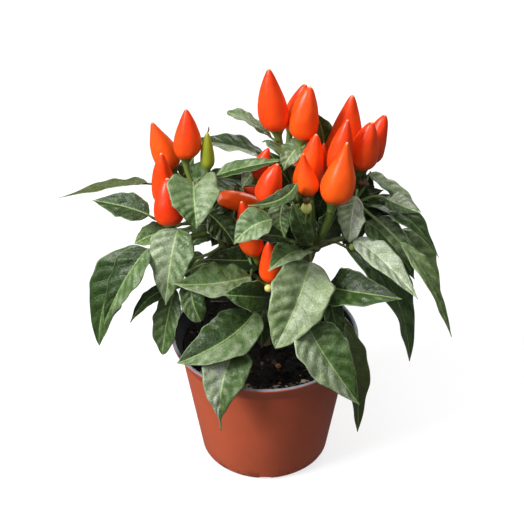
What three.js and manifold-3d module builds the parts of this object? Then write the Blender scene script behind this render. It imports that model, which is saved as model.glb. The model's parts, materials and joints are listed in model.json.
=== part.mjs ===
// A chilli pepper plant growing in a plastic nursery pot, in millimetres, +Z up.
// The origin is the centre of the pot's underside. The plant's front is towards -Y.
import * as THREE from 'three';
import { mergeVertices } from 'three/addons/utils/BufferGeometryUtils.js';
import Module from 'manifold-3d';

const wasm = await Module();
wasm.setup();

// ---- Driving dimensions ----
const POT_RIM_RADIUS = 60;
const POT_HEIGHT = 90;
const POT_BASE_RADIUS = 41;
const POT_WALL = 1.4;
const POT_FLOOR = 1.8;
const POT_SIDES = 48;
const FOOT_CHAMFER = 2.5;
const FOOT_FILL = 1;
const RIM_EDGE = 0.6;
const COLLAR_SLOPE = 1;
const COLLAR_HEIGHT = 11;
const COLLAR_FOOT_RADIUS = 54.8;
const BODY_TOP_RADIUS = 54;
const DRAIN_SLOTS = 6;
const DRAIN_SLOT_LENGTH = 10;
const DRAIN_SLOT_WIDTH = 9;
const DRAIN_SLOT_HEIGHT = 3;
const SOIL_DEPTH_BELOW_RIM = 9;
const SOIL_MOUND_RADIUS = 40;
const SOIL_EDGE_DROP = 1;
const SOIL_SIDES = 32;
const SOCKET_SIDES = 16;
const TRUNK_X = 2;
const GAP = 0.3;
const STEM_SOCKET_DEPTH = 15;
const TRUNK_RADIUS = 3.3;
const STEM_SIDES = 8;
const STALK_SIDES = 8;
const LEAF_STALK_RADIUS = 0.9;
const LEAF_THICKNESS = 0.9;
const BLADE_RISE = 0.7;
const BLADE_FALL = 1.15;
const LEAF_FOLD = 0.3;
const LEAF_CURL = 0.66;
const LEAF_TIP_HALF_WIDTH = 0.3;
const LEAF_TIP_HALF_THICKNESS = 0.2;
const FRUIT_STALK_RADIUS = 1.1;
const FRUIT_TIP_RADIUS = 0.2;
const CALYX_RADIUS = 3.2;
const CALYX_SHARE_OF_WIDTH = 0.3;
const CALYX_SHARE_OF_LENGTH = 0.06;
const STALK_BEND = 0.45;
const STEEPEST_SLANT = 0.5;
const KNOB_RADIUS = 3.3;
const KNOB_SIDES = 10;

const TOWARDS_FRONT = new THREE.Vector3(0.1, -1, 0.15);
const SOIL_TOP = POT_HEIGHT - SOIL_DEPTH_BELOW_RIM;
const COLLAR_FOOT = POT_HEIGHT - COLLAR_HEIGHT;

// ---- Stems: points along each branch, and its radius at the two ends ----
const BRANCHES = [
  { name: 'trunk', from: TRUNK_RADIUS, to: 2.5,
    path: [[TRUNK_X, 0, SOIL_TOP - STEM_SOCKET_DEPTH + GAP], [TRUNK_X, 0, 82],
      [8, 0, 106], [21, -1, 136], [31, -2, 158]] },
  { name: 'left', from: 2.2, to: 1.5,
    path: [[7, 0, 103], [-8, -3, 128], [-24, -6, 158], [-36, -8, 184], [-42, -8, 203]] },
  { name: 'middle', from: 2.1, to: 1.4,
    path: [[31, -2, 157], [27, 4, 178], [18, 9, 196], [14, 10, 210]] },
  { name: 'right', from: 2.0, to: 1.3,
    path: [[31, -2, 157], [42, -4, 163], [52, -3, 167], [55, 4, 180], [57, 8, 198]] },
  { name: 'front', from: 1.6, to: 1.2,
    path: [[-13, -4, 137], [-10, -10, 158], [-6, -13, 178], [-5, -13, 190]] },
  { name: 'back', from: 2.0, to: 1.3,
    path: [[20, -1, 134], [19, 14, 152], [12, 30, 172], [6, 38, 190]] },
  { name: 'back_left', from: 1.7, to: 1.2,
    path: [[-9, -3, 130], [-18, 14, 148], [-24, 28, 172]] },
];

// ---- Leaves: where the stalk leaves its branch, the point that draws the stalk into a bow
// where it has one, the blade's base, middle and tip, the direction that the upper face
// looks, and the blade's width ----
const LEAVES = [
  { name: 'leaf_left_1', stem: [-40, -8, 196], base: [-72, 16, 192], mid: [-92, 12, 192],
    tip: [-126, 5, 188], face: [0, 0.28, 1], width: 18, bend: [-50, 20, 186] },
  { name: 'leaf_left_2', stem: [-34, -8, 180], base: [-70, -8, 184], mid: [-85, -3, 187],
    tip: [-105, 4, 187], face: [-0.2, -0.5, 0.85], width: 18, bend: [-60, -2, 170] },
  { name: 'leaf_left_3', stem: [-30, -7, 170], base: [-70, -10, 159], mid: [-95, -12, 134],
    tip: [-105, -14, 90], face: [-0.35, -0.55, 0.75], width: 30 },
  { name: 'leaf_left_4', stem: [-26, -6, 161], base: [-70, -25, 171], mid: [-84, -35, 155],
    tip: [-98, -38, 124], face: [-0.5, -0.55, 0.7], width: 24, bend: [-44, -26, 156] },
  { name: 'leaf_left_5', stem: [-36, -8, 185], base: [-52, -20, 182], mid: [-56, -32, 169],
    tip: [-60, -38, 139], face: [-0.2, -0.75, 0.65], width: 28, bend: [-45, -17, 178] },
  { name: 'leaf_left_6', stem: [-20, -6, 150], base: [-55, -20, 138], mid: [-60, -28, 121],
    tip: [-64, -30, 95], face: [-0.3, -0.7, 0.6], width: 18 },
  { name: 'leaf_left_7', stem: [-42, -8, 203], base: [-42, -20, 212], mid: [-41, -33, 206],
    tip: [-40, -40, 195], face: [0, -0.7, 0.7], width: 30 },
  { name: 'leaf_left_8', stem: [-42, -8, 203], base: [-29, -10, 213], mid: [-11, -10, 219],
    tip: [8, -10, 223], face: [0, -0.2, 1], width: 13 },
  { name: 'leaf_top_1', stem: [14, 10, 210], base: [4, 16, 224], mid: [-10, 18, 234],
    tip: [-23, 20, 239], face: [0.3, 0, 1], width: 14 },
  { name: 'leaf_top_2', stem: [14, 10, 210], base: [0, 12, 211], mid: [-20, 11, 221],
    tip: [-49, 10, 225], face: [0, 0, 1], width: 20 },
  { name: 'leaf_top_3', stem: [18, 9, 196], base: [18, -30, 220], mid: [8, -40, 215],
    tip: [-10, -46, 215], face: [0.2, -0.3, 0.93], width: 10, bend: [21, -22, 190] },
  { name: 'leaf_front_1', stem: [-5, -13, 190], base: [4, -42, 203], mid: [-8, -46, 200],
    tip: [-18, -48, 190], face: [-0.3, -0.5, 0.8], width: 21, bend: [-1, -24, 186] },
  { name: 'leaf_front_2', stem: [-10, -10, 156], base: [-9, -28, 153], mid: [-30, -40, 156],
    tip: [-54, -46, 160], face: [0, -0.35, 0.95], width: 27, bend: [-7, -14, 148] },
  { name: 'leaf_front_3', stem: [7, -3, 107], base: [-6, -28, 127], mid: [-24, -48, 120],
    tip: [-53, -58, 110], face: [-0.15, -0.55, 0.85], width: 31 },
  { name: 'leaf_front_4', stem: [5, 0, 98], base: [-17, -40, 109], mid: [-26, -63, 98],
    tip: [-27, -66, 64], face: [0, -0.8, 0.6], width: 29 },
  { name: 'leaf_front_5', stem: [28, -2, 155], base: [27, -22, 159], mid: [19, -48, 148],
    tip: [6, -60, 123], face: [0.1, -0.65, 0.75], width: 36, bend: [28, -12, 151] },
  { name: 'leaf_front_6', stem: [31, -2, 158], base: [24, -14, 162], mid: [14, -34, 173],
    tip: [2, -50, 172], face: [-0.3, -0.6, 0.75], width: 20 },
  { name: 'leaf_front_7', stem: [14, -2, 121], base: [25, -46, 131], mid: [36, -62, 118],
    tip: [57, -72, 89], face: [0.2, -0.6, 0.8], width: 33 },
  { name: 'leaf_front_8', stem: [13, -2, 116], base: [42, -28, 126], mid: [54, -48, 101],
    tip: [58, -52, 51], face: [0.6, -0.6, 0.5], width: 19, bend: [30, -18, 132] },
  { name: 'leaf_right_1', stem: [55, 4, 186], base: [54, -10, 199], mid: [52, -14, 187],
    tip: [51, -12, 167], face: [-0.35, -0.7, 0.6], width: 18 },
  { name: 'leaf_right_2', stem: [52, -3, 166], base: [54, -12, 169], mid: [71, -28, 164],
    tip: [91, -46, 149], face: [0.1, -0.35, 0.95], width: 19, bend: [52, -9, 165] },
  { name: 'leaf_right_3', stem: [42, -4, 163], base: [49, -6, 160], mid: [78, -14, 134],
    tip: [91, -24, 85], face: [0.6, -0.2, 0.75], width: 31, bend: [45, -6, 162] },
  { name: 'leaf_right_4', stem: [22, -1, 138], base: [38, -22, 141], mid: [52, -38, 149],
    tip: [81, -50, 152], face: [0.05, -0.6, 0.8], width: 26 },
  { name: 'leaf_right_5', stem: [56, 6, 188], base: [62, 6, 204], mid: [78, 5, 193],
    tip: [95, 0, 181], face: [0.2, -0.1, 1], width: 15, bend: [61, 0, 199] },
  { name: 'leaf_right_6', stem: [55, 4, 181], base: [62, 6, 182], mid: [84, -2, 180],
    tip: [106, -12, 156], face: [0.5, -0.2, 0.85], width: 23 },
  { name: 'leaf_right_7', stem: [55, 4, 180], base: [83, 6, 164], mid: [96, -4, 151],
    tip: [109, -13, 125], face: [0.6, -0.4, 0.7], width: 25 },
  { name: 'leaf_right_8', stem: [56, 5, 184], base: [82, -15, 169], mid: [98, -30, 152],
    tip: [114, -38, 115], face: [0.6, -0.3, 0.75], width: 15, bend: [68, -8, 181] },
  { name: 'leaf_right_9', stem: [53, -1, 170], base: [62, 0, 174], mid: [77, -11, 165],
    tip: [91, -21, 146], face: [0.2, -0.5, 0.85], width: 24 },
  { name: 'leaf_back_1', stem: [6, 38, 190], base: [15, 48, 189], mid: [13, 68, 189],
    tip: [9, 88, 171], face: [0, 0.3, 1], width: 30 },
  { name: 'leaf_back_2', stem: [12, 30, 172], base: [24, 42, 180], mid: [42, 56, 180],
    tip: [60, 68, 164], face: [0.3, 0.3, 0.9], width: 28 },
  { name: 'leaf_back_3', stem: [-24, 28, 172], base: [-34, 38, 176], mid: [-52, 52, 174],
    tip: [-70, 62, 158], face: [-0.3, 0.3, 0.9], width: 28 },
  { name: 'leaf_back_4', stem: [19, 14, 152], base: [34, 28, 152], mid: [50, 46, 148],
    tip: [66, 60, 128], face: [0.4, 0.4, 0.8], width: 28 },
  { name: 'leaf_back_5', stem: [-18, 14, 148], base: [-28, 26, 150], mid: [-44, 42, 142],
    tip: [-58, 56, 120], face: [-0.4, 0.4, 0.8], width: 28 },
  { name: 'leaf_back_6', stem: [17, 17, 155], base: [8, 30, 150], mid: [4, 50, 142],
    tip: [0, 70, 116], face: [0, 0.6, 0.8], width: 30 },
];

// ---- Fruits: where the stalk leaves its branch, the fruit's shoulder and tip,
// its widest diameter, and whether it is still unripe ----
const FRUITS = [
  { name: 'fruit_left_1', stem: [-42, -8, 203], base: [-57, 18, 202], tip: [-68, 19, 233],
    diameter: 16.5 },
  { name: 'fruit_left_2', stem: [-42, -8, 203], base: [-47, -3, 222], tip: [-46, -1, 253],
    diameter: 16.5 },
  { name: 'fruit_left_3', stem: [-38, -8, 190], base: [-59, 4, 185], tip: [-62, 3, 221],
    diameter: 15.5 },
  { name: 'fruit_left_4', stem: [-31, -7, 173], base: [-57, -16, 183], tip: [-58, -11, 212],
    diameter: 18.5 },
  { name: 'fruit_left_5', stem: [-42, -8, 203], base: [-34, -4, 215], tip: [-34, -2, 238],
    diameter: 8.5, unripe: true },
  { name: 'fruit_top_1', stem: [14, 10, 210], base: [7, 9, 234], tip: [2, 11, 273], diameter: 18 },
  { name: 'fruit_top_2', stem: [14, 10, 210], base: [16, 27, 224], tip: [24, 28, 254], diameter: 15.5 },
  { name: 'fruit_top_3', stem: [14, 10, 210], base: [22, 6, 230], tip: [26, 8, 263], diameter: 18 },
  { name: 'fruit_right_1', stem: [55, 4, 183], base: [43, 20, 198], tip: [52, 22, 250], diameter: 22 },
  { name: 'fruit_right_2', stem: [55, 4, 180], base: [44, -5, 211], tip: [48, -3, 247], diameter: 16 },
  { name: 'fruit_right_3', stem: [57, 8, 198], base: [63, 19, 206], tip: [72, 21, 237], diameter: 15 },
  { name: 'fruit_right_4', stem: [57, 8, 198], base: [57, 5, 210], tip: [63, 5, 241], diameter: 17.5 },
  { name: 'fruit_right_5', stem: [31, -2, 160], base: [40, -25, 205], tip: [47, -24, 244],
    diameter: 20.5 },
  { name: 'fruit_middle_1', stem: [29, 1, 168], base: [26, -20, 207], tip: [22, -20, 234],
    diameter: 13.5 },
  { name: 'fruit_middle_2', stem: [27, 4, 176], base: [23, -4, 199], tip: [30, -4, 238],
    diameter: 17.5 },
  { name: 'fruit_middle_3', stem: [22, 7, 188], base: [34, 9, 201], tip: [35, 9, 224],
    diameter: 9.5 },
  { name: 'fruit_middle_4', stem: [14, 10, 210], base: [-5, -1, 207], tip: [2, -1, 227],
    diameter: 10 },
  { name: 'fruit_front_1', stem: [-5, -13, 190], base: [0, -24, 204], tip: [7, -23, 229], diameter: 15.5 },
  { name: 'fruit_front_2', stem: [24, 6, 184], base: [-4, 5, 180], tip: [-28, -5, 195], diameter: 13 },
  { name: 'fruit_front_3', stem: [-9, -11, 161], base: [-6, -24, 167], tip: [-14, -24, 204],
    diameter: 14.5 },
  { name: 'fruit_front_4', stem: [-11, -8, 147], base: [4, -29, 151], tip: [2, -29, 179], diameter: 14.5 },
  { name: 'fruit_back_1', stem: [15, 23, 163], base: [-5, 36, 162], tip: [-11, 42, 190], diameter: 16 },
  { name: 'fruit_back_2', stem: [9, 34, 181], base: [24, 32, 184], tip: [28, 36, 213],
    diameter: 16 },
];

// Outline of a fruit: distance from shoulder to tip, and radius, as shares of the whole.
const FRUIT_OUTLINE = [
  [0, 0.55], [0.05, 0.85], [0.16, 0.99], [0.32, 1],
  [0.5, 0.87], [0.68, 0.65], [0.84, 0.4], [0.95, 0.19],
];
// Places along a leaf blade, from its base to its tip, where its outline is set.
const BLADE_MIDDLE = 0.52;
const BLADE_STEPS = [0, 0.07, 0.18, 0.34, BLADE_MIDDLE, 0.7, 0.86, 0.96];
// A cross-section of a leaf, as shares of its half width and half thickness.
const BLADE_SECTION = [[1, 0], [0.5, 1], [0, 1], [-0.5, 1], [-1, 0], [-0.5, -1], [0, -1], [0.5, -1]];
// Places along a stalk, from the branch towards the leaf or the fruit.
const STALK_STEPS = [0, 0.4, 0.8];

// ---- Materials ----
function finish(colour, roughness, metalness = 0) {
  return new THREE.MeshStandardMaterial({ color: colour, roughness, metalness });
}

function leafMaterial() {
  return finish(0x3f6a35, 0.45);
}

function fruitMaterial() {
  return finish(0xf4501c, 0.25);
}

function unripeFruitMaterial() {
  return finish(0xb9bf52, 0.35);
}

function stemMaterial() {
  return finish(0x6b7a3a, 0.6);
}

function potMaterial() {
  return finish(0xa8543a, 0.55);
}

function soilMaterial() {
  return finish(0x1f1a17, 0.95);
}

// ---- Solids ----
function vector(point) {
  return new THREE.Vector3(...point);
}

// A closed solid through a row of rings that all have the same number of points.
function loft(rings) {
  const sides = rings[0].length;
  const positions = [];
  const triangles = [];
  for (const ring of rings) {
    for (const point of ring) positions.push(point.x, point.y, point.z);
  }
  for (let row = 0; row + 1 < rings.length; row += 1) {
    for (let side = 0; side < sides; side += 1) {
      const next = (side + 1) % sides;
      const a = row * sides + side;
      const b = row * sides + next;
      triangles.push(a, b, b + sides, a, b + sides, a + sides);
    }
  }
  const last = (rings.length - 1) * sides;
  for (let side = 1; side + 1 < sides; side += 1) {
    triangles.push(0, side + 1, side);
    triangles.push(last, last + side, last + side + 1);
  }
  const geometry = new THREE.BufferGeometry();
  geometry.setAttribute('position', new THREE.Float32BufferAttribute(positions, 3));
  geometry.setIndex(triangles);
  return geometry;
}

// Directions across a curve, carried along it without twist: `over` starts nearest to the
// wanted direction, and `across` is square to it and to the curve.
function frameAlong(tangents, wanted, start) {
  const frames = new Array(tangents.length);
  const place = (index, hint) => {
    const tangent = tangents[index];
    const over = hint.clone().addScaledVector(tangent, -hint.dot(tangent)).normalize();
    frames[index] = { over, across: new THREE.Vector3().crossVectors(over, tangent).normalize() };
  };
  place(start, wanted);
  for (let index = start + 1; index < tangents.length; index += 1) place(index, frames[index - 1].over);
  for (let index = start - 1; index >= 0; index -= 1) place(index, frames[index + 1].over);
  return frames;
}

// Every branch as a smooth curve, cut into stations from its foot to its end.
function branchStations({ path, from, to }) {
  const curve = new THREE.CatmullRomCurve3(path.map(vector), false, 'centripetal');
  const steps = 3 * (path.length - 1);
  const stations = [];
  for (let step = 0; step <= steps; step += 1) {
    const along = step / steps;
    stations.push({
      at: curve.getPoint(along),
      tangent: curve.getTangent(along),
      radius: from + (to - from) * along,
      isEnd: step === steps,
    });
  }
  return stations;
}

const BRANCH_STATIONS = BRANCHES.map(branchStations);

// How far from the middle of its branch a stalk starts, so that it stays just clear of it.
// A branch ends in a round knob, and a stalk that leaves along a branch slants out of it.
function clearanceAt(stem, away) {
  const stations = BRANCH_STATIONS.flat();
  const distances = stations.map((station) => station.at.distanceTo(stem));
  const nearest = stations[distances.indexOf(Math.min(...distances))];
  if (nearest.isEnd) return KNOB_RADIUS + GAP;
  const slant = Math.abs(nearest.tangent.dot(away));
  const square = Math.max(Math.sqrt(1 - slant * slant), STEEPEST_SLANT);
  return (nearest.radius + GAP + FRUIT_STALK_RADIUS * slant) / square;
}

// The stalk bends from its branch into the line of what it carries.
function stalkCurve(stem, base, lineOfBase, bendAt) {
  const reach = base.distanceTo(stem);
  const straight = base.clone().addScaledVector(lineOfBase, -STALK_BEND * reach);
  const bend = bendAt ? vector(bendAt) : straight;
  const away = bend.clone().sub(stem).normalize();
  const start = stem.clone().addScaledVector(away, clearanceAt(stem, away));
  return new THREE.QuadraticBezierCurve3(start, bend, base);
}

function roundRing(centre, frame, radius, sides) {
  const ring = [];
  for (let side = 0; side < sides; side += 1) {
    const angle = (2 * Math.PI * side) / sides;
    ring.push(centre.clone()
      .addScaledVector(frame.across, radius * Math.cos(angle))
      .addScaledVector(frame.over, radius * Math.sin(angle)));
  }
  return ring;
}

// A round solid through stations that each have a place, a direction and a radius.
function tubeThrough(stations, sides) {
  const frames = frameAlong(stations.map((station) => station.tangent), TOWARDS_FRONT, 0);
  return loft(stations.map((station, index) => roundRing(
    station.at, frames[index], station.radius, sides)));
}

// Blade outline: share of the full width at a distance from base (0) to tip (1).
function bladeShare(along) {
  const widest = BLADE_RISE / (BLADE_RISE + BLADE_FALL);
  return (along / widest) ** BLADE_RISE * ((1 - along) / (1 - widest)) ** BLADE_FALL;
}

// A cross-section of the leaf, folded up into a shallow V and curled over at its edges.
function leafRing(centre, frame, halfWidth, halfThickness, fold) {
  const ring = [];
  for (const [share, side] of BLADE_SECTION) {
    const thickness = side * halfThickness * Math.sqrt(1 - share * share);
    const lift = halfWidth * fold * (Math.abs(share) - LEAF_CURL * share * share);
    ring.push(centre.clone()
      .addScaledVector(frame.across, share * halfWidth)
      .addScaledVector(frame.over, lift + thickness));
  }
  return ring;
}

function leafGeometry({ stem, bend, base, mid, tip, face, width }) {
  const baseAt = vector(base);
  const tipAt = vector(tip);
  const halfway = baseAt.clone().lerp(tipAt, 0.5);
  const control = vector(mid).multiplyScalar(2).sub(halfway);
  const blade = new THREE.QuadraticBezierCurve3(baseAt, control, tipAt);
  const stalk = stalkCurve(vector(stem), baseAt, blade.getTangent(0), bend);
  const stations = [];
  for (const along of STALK_STEPS) {
    stations.push({
      at: stalk.getPoint(along),
      tangent: stalk.getTangent(along),
      half: LEAF_STALK_RADIUS,
      thick: LEAF_STALK_RADIUS,
      fold: 0,
    });
  }
  for (const along of BLADE_STEPS) {
    const half = Math.max(LEAF_STALK_RADIUS, (width / 2) * bladeShare(along));
    const thick = along === 0 ? LEAF_STALK_RADIUS : LEAF_THICKNESS / 2;
    const fold = along === 0 ? 0 : LEAF_FOLD;
    const tangent = blade.getTangent(along);
    if (along === 0) tangent.add(stalk.getTangent(1)).normalize();
    stations.push({ at: blade.getPoint(along), tangent, half, thick, fold });
  }
  stations.push({
    at: tipAt,
    tangent: blade.getTangent(1),
    half: LEAF_TIP_HALF_WIDTH,
    thick: LEAF_TIP_HALF_THICKNESS,
    fold: 0,
  });
  const middle = STALK_STEPS.length + BLADE_STEPS.indexOf(BLADE_MIDDLE);
  const frames = frameAlong(stations.map((station) => station.tangent), vector(face).normalize(), middle);
  return loft(stations.map((station, index) => leafRing(
    station.at, frames[index], station.half, station.thick, station.fold)));
}

function fruitGeometry({ stem, base, tip, diameter }) {
  const baseAt = vector(base);
  const tipAt = vector(tip);
  const axis = tipAt.clone().sub(baseAt).normalize();
  const length = tipAt.distanceTo(baseAt);
  const stalk = stalkCurve(vector(stem), baseAt, axis);
  const stations = [];
  for (const along of STALK_STEPS) {
    const at = stalk.getPoint(along);
    stations.push({ at, tangent: stalk.getTangent(along), radius: FRUIT_STALK_RADIUS });
  }
  const onAxis = (along, radius) => {
    const at = baseAt.clone().addScaledVector(axis, along * length);
    stations.push({ at, tangent: axis, radius });
  };
  onAxis(-CALYX_SHARE_OF_LENGTH, Math.min(CALYX_RADIUS, CALYX_SHARE_OF_WIDTH * diameter));
  for (const [along, share] of FRUIT_OUTLINE) onAxis(along, share * diameter / 2);
  onAxis(1, FRUIT_TIP_RADIUS);
  return tubeThrough(stations, STALK_SIDES);
}

// ---- Joining and cutting ----
function solidOf(geometry) {
  const plain = geometry.clone();
  plain.deleteAttribute('normal');
  plain.deleteAttribute('uv');
  const merged = mergeVertices(plain, 1e-4);
  return new wasm.Manifold(new wasm.Mesh({
    numProp: 3,
    vertProperties: Float32Array.from(merged.attributes.position.array),
    triVerts: Uint32Array.from(merged.index.array),
  }));
}

function geometryOf(solid) {
  const mesh = solid.getMesh();
  const geometry = new THREE.BufferGeometry();
  geometry.setAttribute('position', new THREE.BufferAttribute(mesh.vertProperties, 3));
  geometry.setIndex(new THREE.BufferAttribute(mesh.triVerts, 1));
  return geometry;
}

// A shape turned about the pot's axis from points that give its radius and height.
function turned(points, sides) {
  const profile = points.map(([radius, height]) => new THREE.Vector2(radius, height));
  const geometry = new THREE.LatheGeometry(profile, sides);
  geometry.rotateX(Math.PI / 2);
  return geometry;
}

// Outer radius of the pot's plain wall at a height.
function wallRadius(height) {
  return POT_BASE_RADIUS + (BODY_TOP_RADIUS - POT_BASE_RADIUS) * (height / COLLAR_FOOT);
}

function potGeometry() {
  const profile = [
    [0, 0],
    [POT_BASE_RADIUS - FOOT_CHAMFER, 0],
    [wallRadius(FOOT_CHAMFER), FOOT_CHAMFER],
    [wallRadius(COLLAR_FOOT), COLLAR_FOOT],
    [COLLAR_FOOT_RADIUS, COLLAR_FOOT + COLLAR_SLOPE],
    [POT_RIM_RADIUS, POT_HEIGHT - RIM_EDGE],
    [POT_RIM_RADIUS - RIM_EDGE, POT_HEIGHT],
    [POT_RIM_RADIUS - POT_WALL, POT_HEIGHT],
    [COLLAR_FOOT_RADIUS - POT_WALL, COLLAR_FOOT + COLLAR_SLOPE + POT_WALL],
    [wallRadius(COLLAR_FOOT) - POT_WALL, COLLAR_FOOT + POT_WALL],
    [wallRadius(FOOT_CHAMFER) - POT_WALL, FOOT_CHAMFER + FOOT_FILL],
    [POT_BASE_RADIUS - FOOT_CHAMFER - POT_WALL, POT_FLOOR],
    [0, POT_FLOOR],
  ];
  let pot = solidOf(turned(profile, POT_SIDES));
  for (let slot = 0; slot < DRAIN_SLOTS; slot += 1) {
    const cutter = new THREE.BoxGeometry(DRAIN_SLOT_LENGTH, DRAIN_SLOT_WIDTH, 2 * DRAIN_SLOT_HEIGHT);
    cutter.translate(POT_BASE_RADIUS, 0, 0);
    cutter.rotateZ(2 * Math.PI * (slot / DRAIN_SLOTS) - Math.PI / 2);
    pot = pot.subtract(solidOf(cutter));
  }
  return geometryOf(pot);
}

function soilGeometry() {
  const bottom = POT_FLOOR + GAP;
  const inset = POT_WALL + 2 * GAP;
  const profile = [
    [0, bottom],
    [POT_BASE_RADIUS - FOOT_CHAMFER - inset, bottom],
    [wallRadius(FOOT_CHAMFER) - inset, FOOT_CHAMFER + FOOT_FILL + 1],
    [wallRadius(COLLAR_FOOT) - inset, COLLAR_FOOT],
    [wallRadius(COLLAR_FOOT) - inset, SOIL_TOP - SOIL_EDGE_DROP],
    [SOIL_MOUND_RADIUS, SOIL_TOP],
    [0, SOIL_TOP],
  ];
  const radius = TRUNK_RADIUS + GAP;
  const socket = new THREE.CylinderGeometry(radius, radius, 2 * STEM_SOCKET_DEPTH, SOCKET_SIDES);
  socket.rotateX(Math.PI / 2);
  socket.translate(TRUNK_X, 0, SOIL_TOP);
  return geometryOf(solidOf(turned(profile, SOIL_SIDES)).subtract(solidOf(socket)));
}

function stemGeometry() {
  let stem = null;
  for (const stations of BRANCH_STATIONS) {
    const knob = new THREE.SphereGeometry(KNOB_RADIUS, KNOB_SIDES, KNOB_SIDES - 2);
    knob.translate(...stations[stations.length - 1].at.toArray());
    const piece = solidOf(tubeThrough(stations, STEM_SIDES)).add(solidOf(knob));
    stem = stem === null ? piece : stem.add(piece);
  }
  return geometryOf(stem);
}

// ---- The plant in its pot ----
function part(name, geometry, material) {
  const mesh = new THREE.Mesh(geometry, material);
  mesh.name = name;
  return mesh;
}

const plant = new THREE.Group();
plant.add(part('pot', potGeometry(), potMaterial()));
plant.add(part('soil', soilGeometry(), soilMaterial()));
plant.add(part('stem', stemGeometry(), stemMaterial()));
for (const leaf of LEAVES) plant.add(part(leaf.name, leafGeometry(leaf), leafMaterial()));
for (const fruit of FRUITS) {
  const material = fruit.unripe ? unripeFruitMaterial() : fruitMaterial();
  plant.add(part(fruit.name, fruitGeometry(fruit), material));
}

export default plant;
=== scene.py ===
"""An ornamental chilli pepper plant in a plastic nursery pot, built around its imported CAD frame.

Lengths are in millimetres from the middle of the pot's foot: x to the right, y away from the viewer, z up."""
import json
import math
import random
from functools import cached_property

import bpy
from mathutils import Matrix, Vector, noise

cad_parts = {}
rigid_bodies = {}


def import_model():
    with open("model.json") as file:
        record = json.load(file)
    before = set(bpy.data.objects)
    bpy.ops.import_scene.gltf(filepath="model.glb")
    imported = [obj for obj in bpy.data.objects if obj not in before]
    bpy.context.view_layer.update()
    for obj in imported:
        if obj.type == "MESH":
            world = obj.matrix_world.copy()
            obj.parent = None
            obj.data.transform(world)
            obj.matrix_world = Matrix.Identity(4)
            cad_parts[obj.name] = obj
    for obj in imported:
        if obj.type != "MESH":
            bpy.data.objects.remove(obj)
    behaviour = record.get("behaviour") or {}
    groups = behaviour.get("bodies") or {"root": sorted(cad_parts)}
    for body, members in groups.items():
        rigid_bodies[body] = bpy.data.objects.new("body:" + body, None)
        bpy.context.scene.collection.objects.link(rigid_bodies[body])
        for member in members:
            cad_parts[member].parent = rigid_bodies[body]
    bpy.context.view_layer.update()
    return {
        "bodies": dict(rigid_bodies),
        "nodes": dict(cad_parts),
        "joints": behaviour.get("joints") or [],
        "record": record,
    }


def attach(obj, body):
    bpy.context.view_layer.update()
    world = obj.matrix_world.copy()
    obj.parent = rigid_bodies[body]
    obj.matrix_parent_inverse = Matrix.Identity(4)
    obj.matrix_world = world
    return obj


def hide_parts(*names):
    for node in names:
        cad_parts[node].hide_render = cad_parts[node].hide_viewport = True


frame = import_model()

MM = 0.001
SCENE = bpy.context.scene

# ---- Dimensions, as in the CAD model ----
POT_RIM_RADIUS = 60.0
POT_HEIGHT = 90.0
POT_BASE_RADIUS = 41.0
POT_WALL = 1.4
POT_FLOOR = 3.0
DRAIN_SLOTS = 6
COLLAR_FOOT = 79.0
COLLAR_FOOT_RADIUS = 54.8
BODY_TOP_RADIUS = 54.0
SOIL_TOP = 81.0
TRUNK_X = 2
TRUNK_FOOT = 70

# Stems: name, radius at the foot and at the end, and points along each.
BRANCHES = [
    ("trunk", 3.3, 2.5, [(TRUNK_X, 0, TRUNK_FOOT), (2, 0, 82), (8, 0, 106), (21, -1, 136), (31, -2, 158)]),
    ("left", 2.2, 1.5, [(7, 0, 103), (-8, -3, 128), (-24, -6, 158), (-36, -8, 184), (-42, -8, 203)]),
    ("middle", 2.1, 1.4, [(31, -2, 157), (27, 4, 178), (18, 9, 196), (14, 10, 210)]),
    ("right", 2.0, 1.3, [(31, -2, 157), (42, -4, 163), (52, -3, 167), (55, 4, 180), (57, 8, 198)]),
    ("front", 1.6, 1.2, [(-13, -4, 137), (-10, -10, 158), (-6, -13, 178), (-5, -13, 190)]),
    ("back", 2.0, 1.3, [(20, -1, 134), (19, 14, 152), (12, 30, 172), (6, 38, 190)]),
    ("back_left", 1.7, 1.2, [(-9, -3, 130), (-18, 14, 148), (-24, 28, 172)]),
]
# Thin side shoots that only the scene adds: radius at the foot and at the end, and points along each.
TWIGLETS = [
    (1.5, 1.0, [(31, -2, 157), (21, -8, 164), (12, -12, 169), (6, -14, 171)]),
    (1.1, 0.8, [(31, -2, 156), (29, -5, 150), (25, -7, 143), (22, -8, 139)]),
]
# Where a branch carries a swollen joint: place and radius.
JOINTS = [
    ((31, -2, 157.5), 3.7), ((20.5, -1, 135), 3.6), ((7, 0, 104), 3.8), ((-13, -4, 137), 2.8),
    ((-9, -3, 130), 2.7), ((-42, -8, 203), 3.0), ((14, 10, 210), 3.0), ((57, 8, 198), 2.7),
    ((-5, -13, 190), 2.6), ((6, 38, 190), 2.7), ((-24, 28, 172), 2.6), ((52, -3, 167), 2.7),
    ((55, 4, 180), 2.6), ((-36, -8, 184), 2.5), ((-26, -6, 161), 2.4), ((27, 4, 178), 2.5),
    ((18, 9, 196), 2.3), ((-10, -10, 157), 2.2), ((-6, -13, 178), 2.1), ((12, 30, 172), 2.4),
    ((19, 14, 152), 2.4), ((42, -4, 163), 2.4), ((2, 0, 83), 3.9),
]


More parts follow.
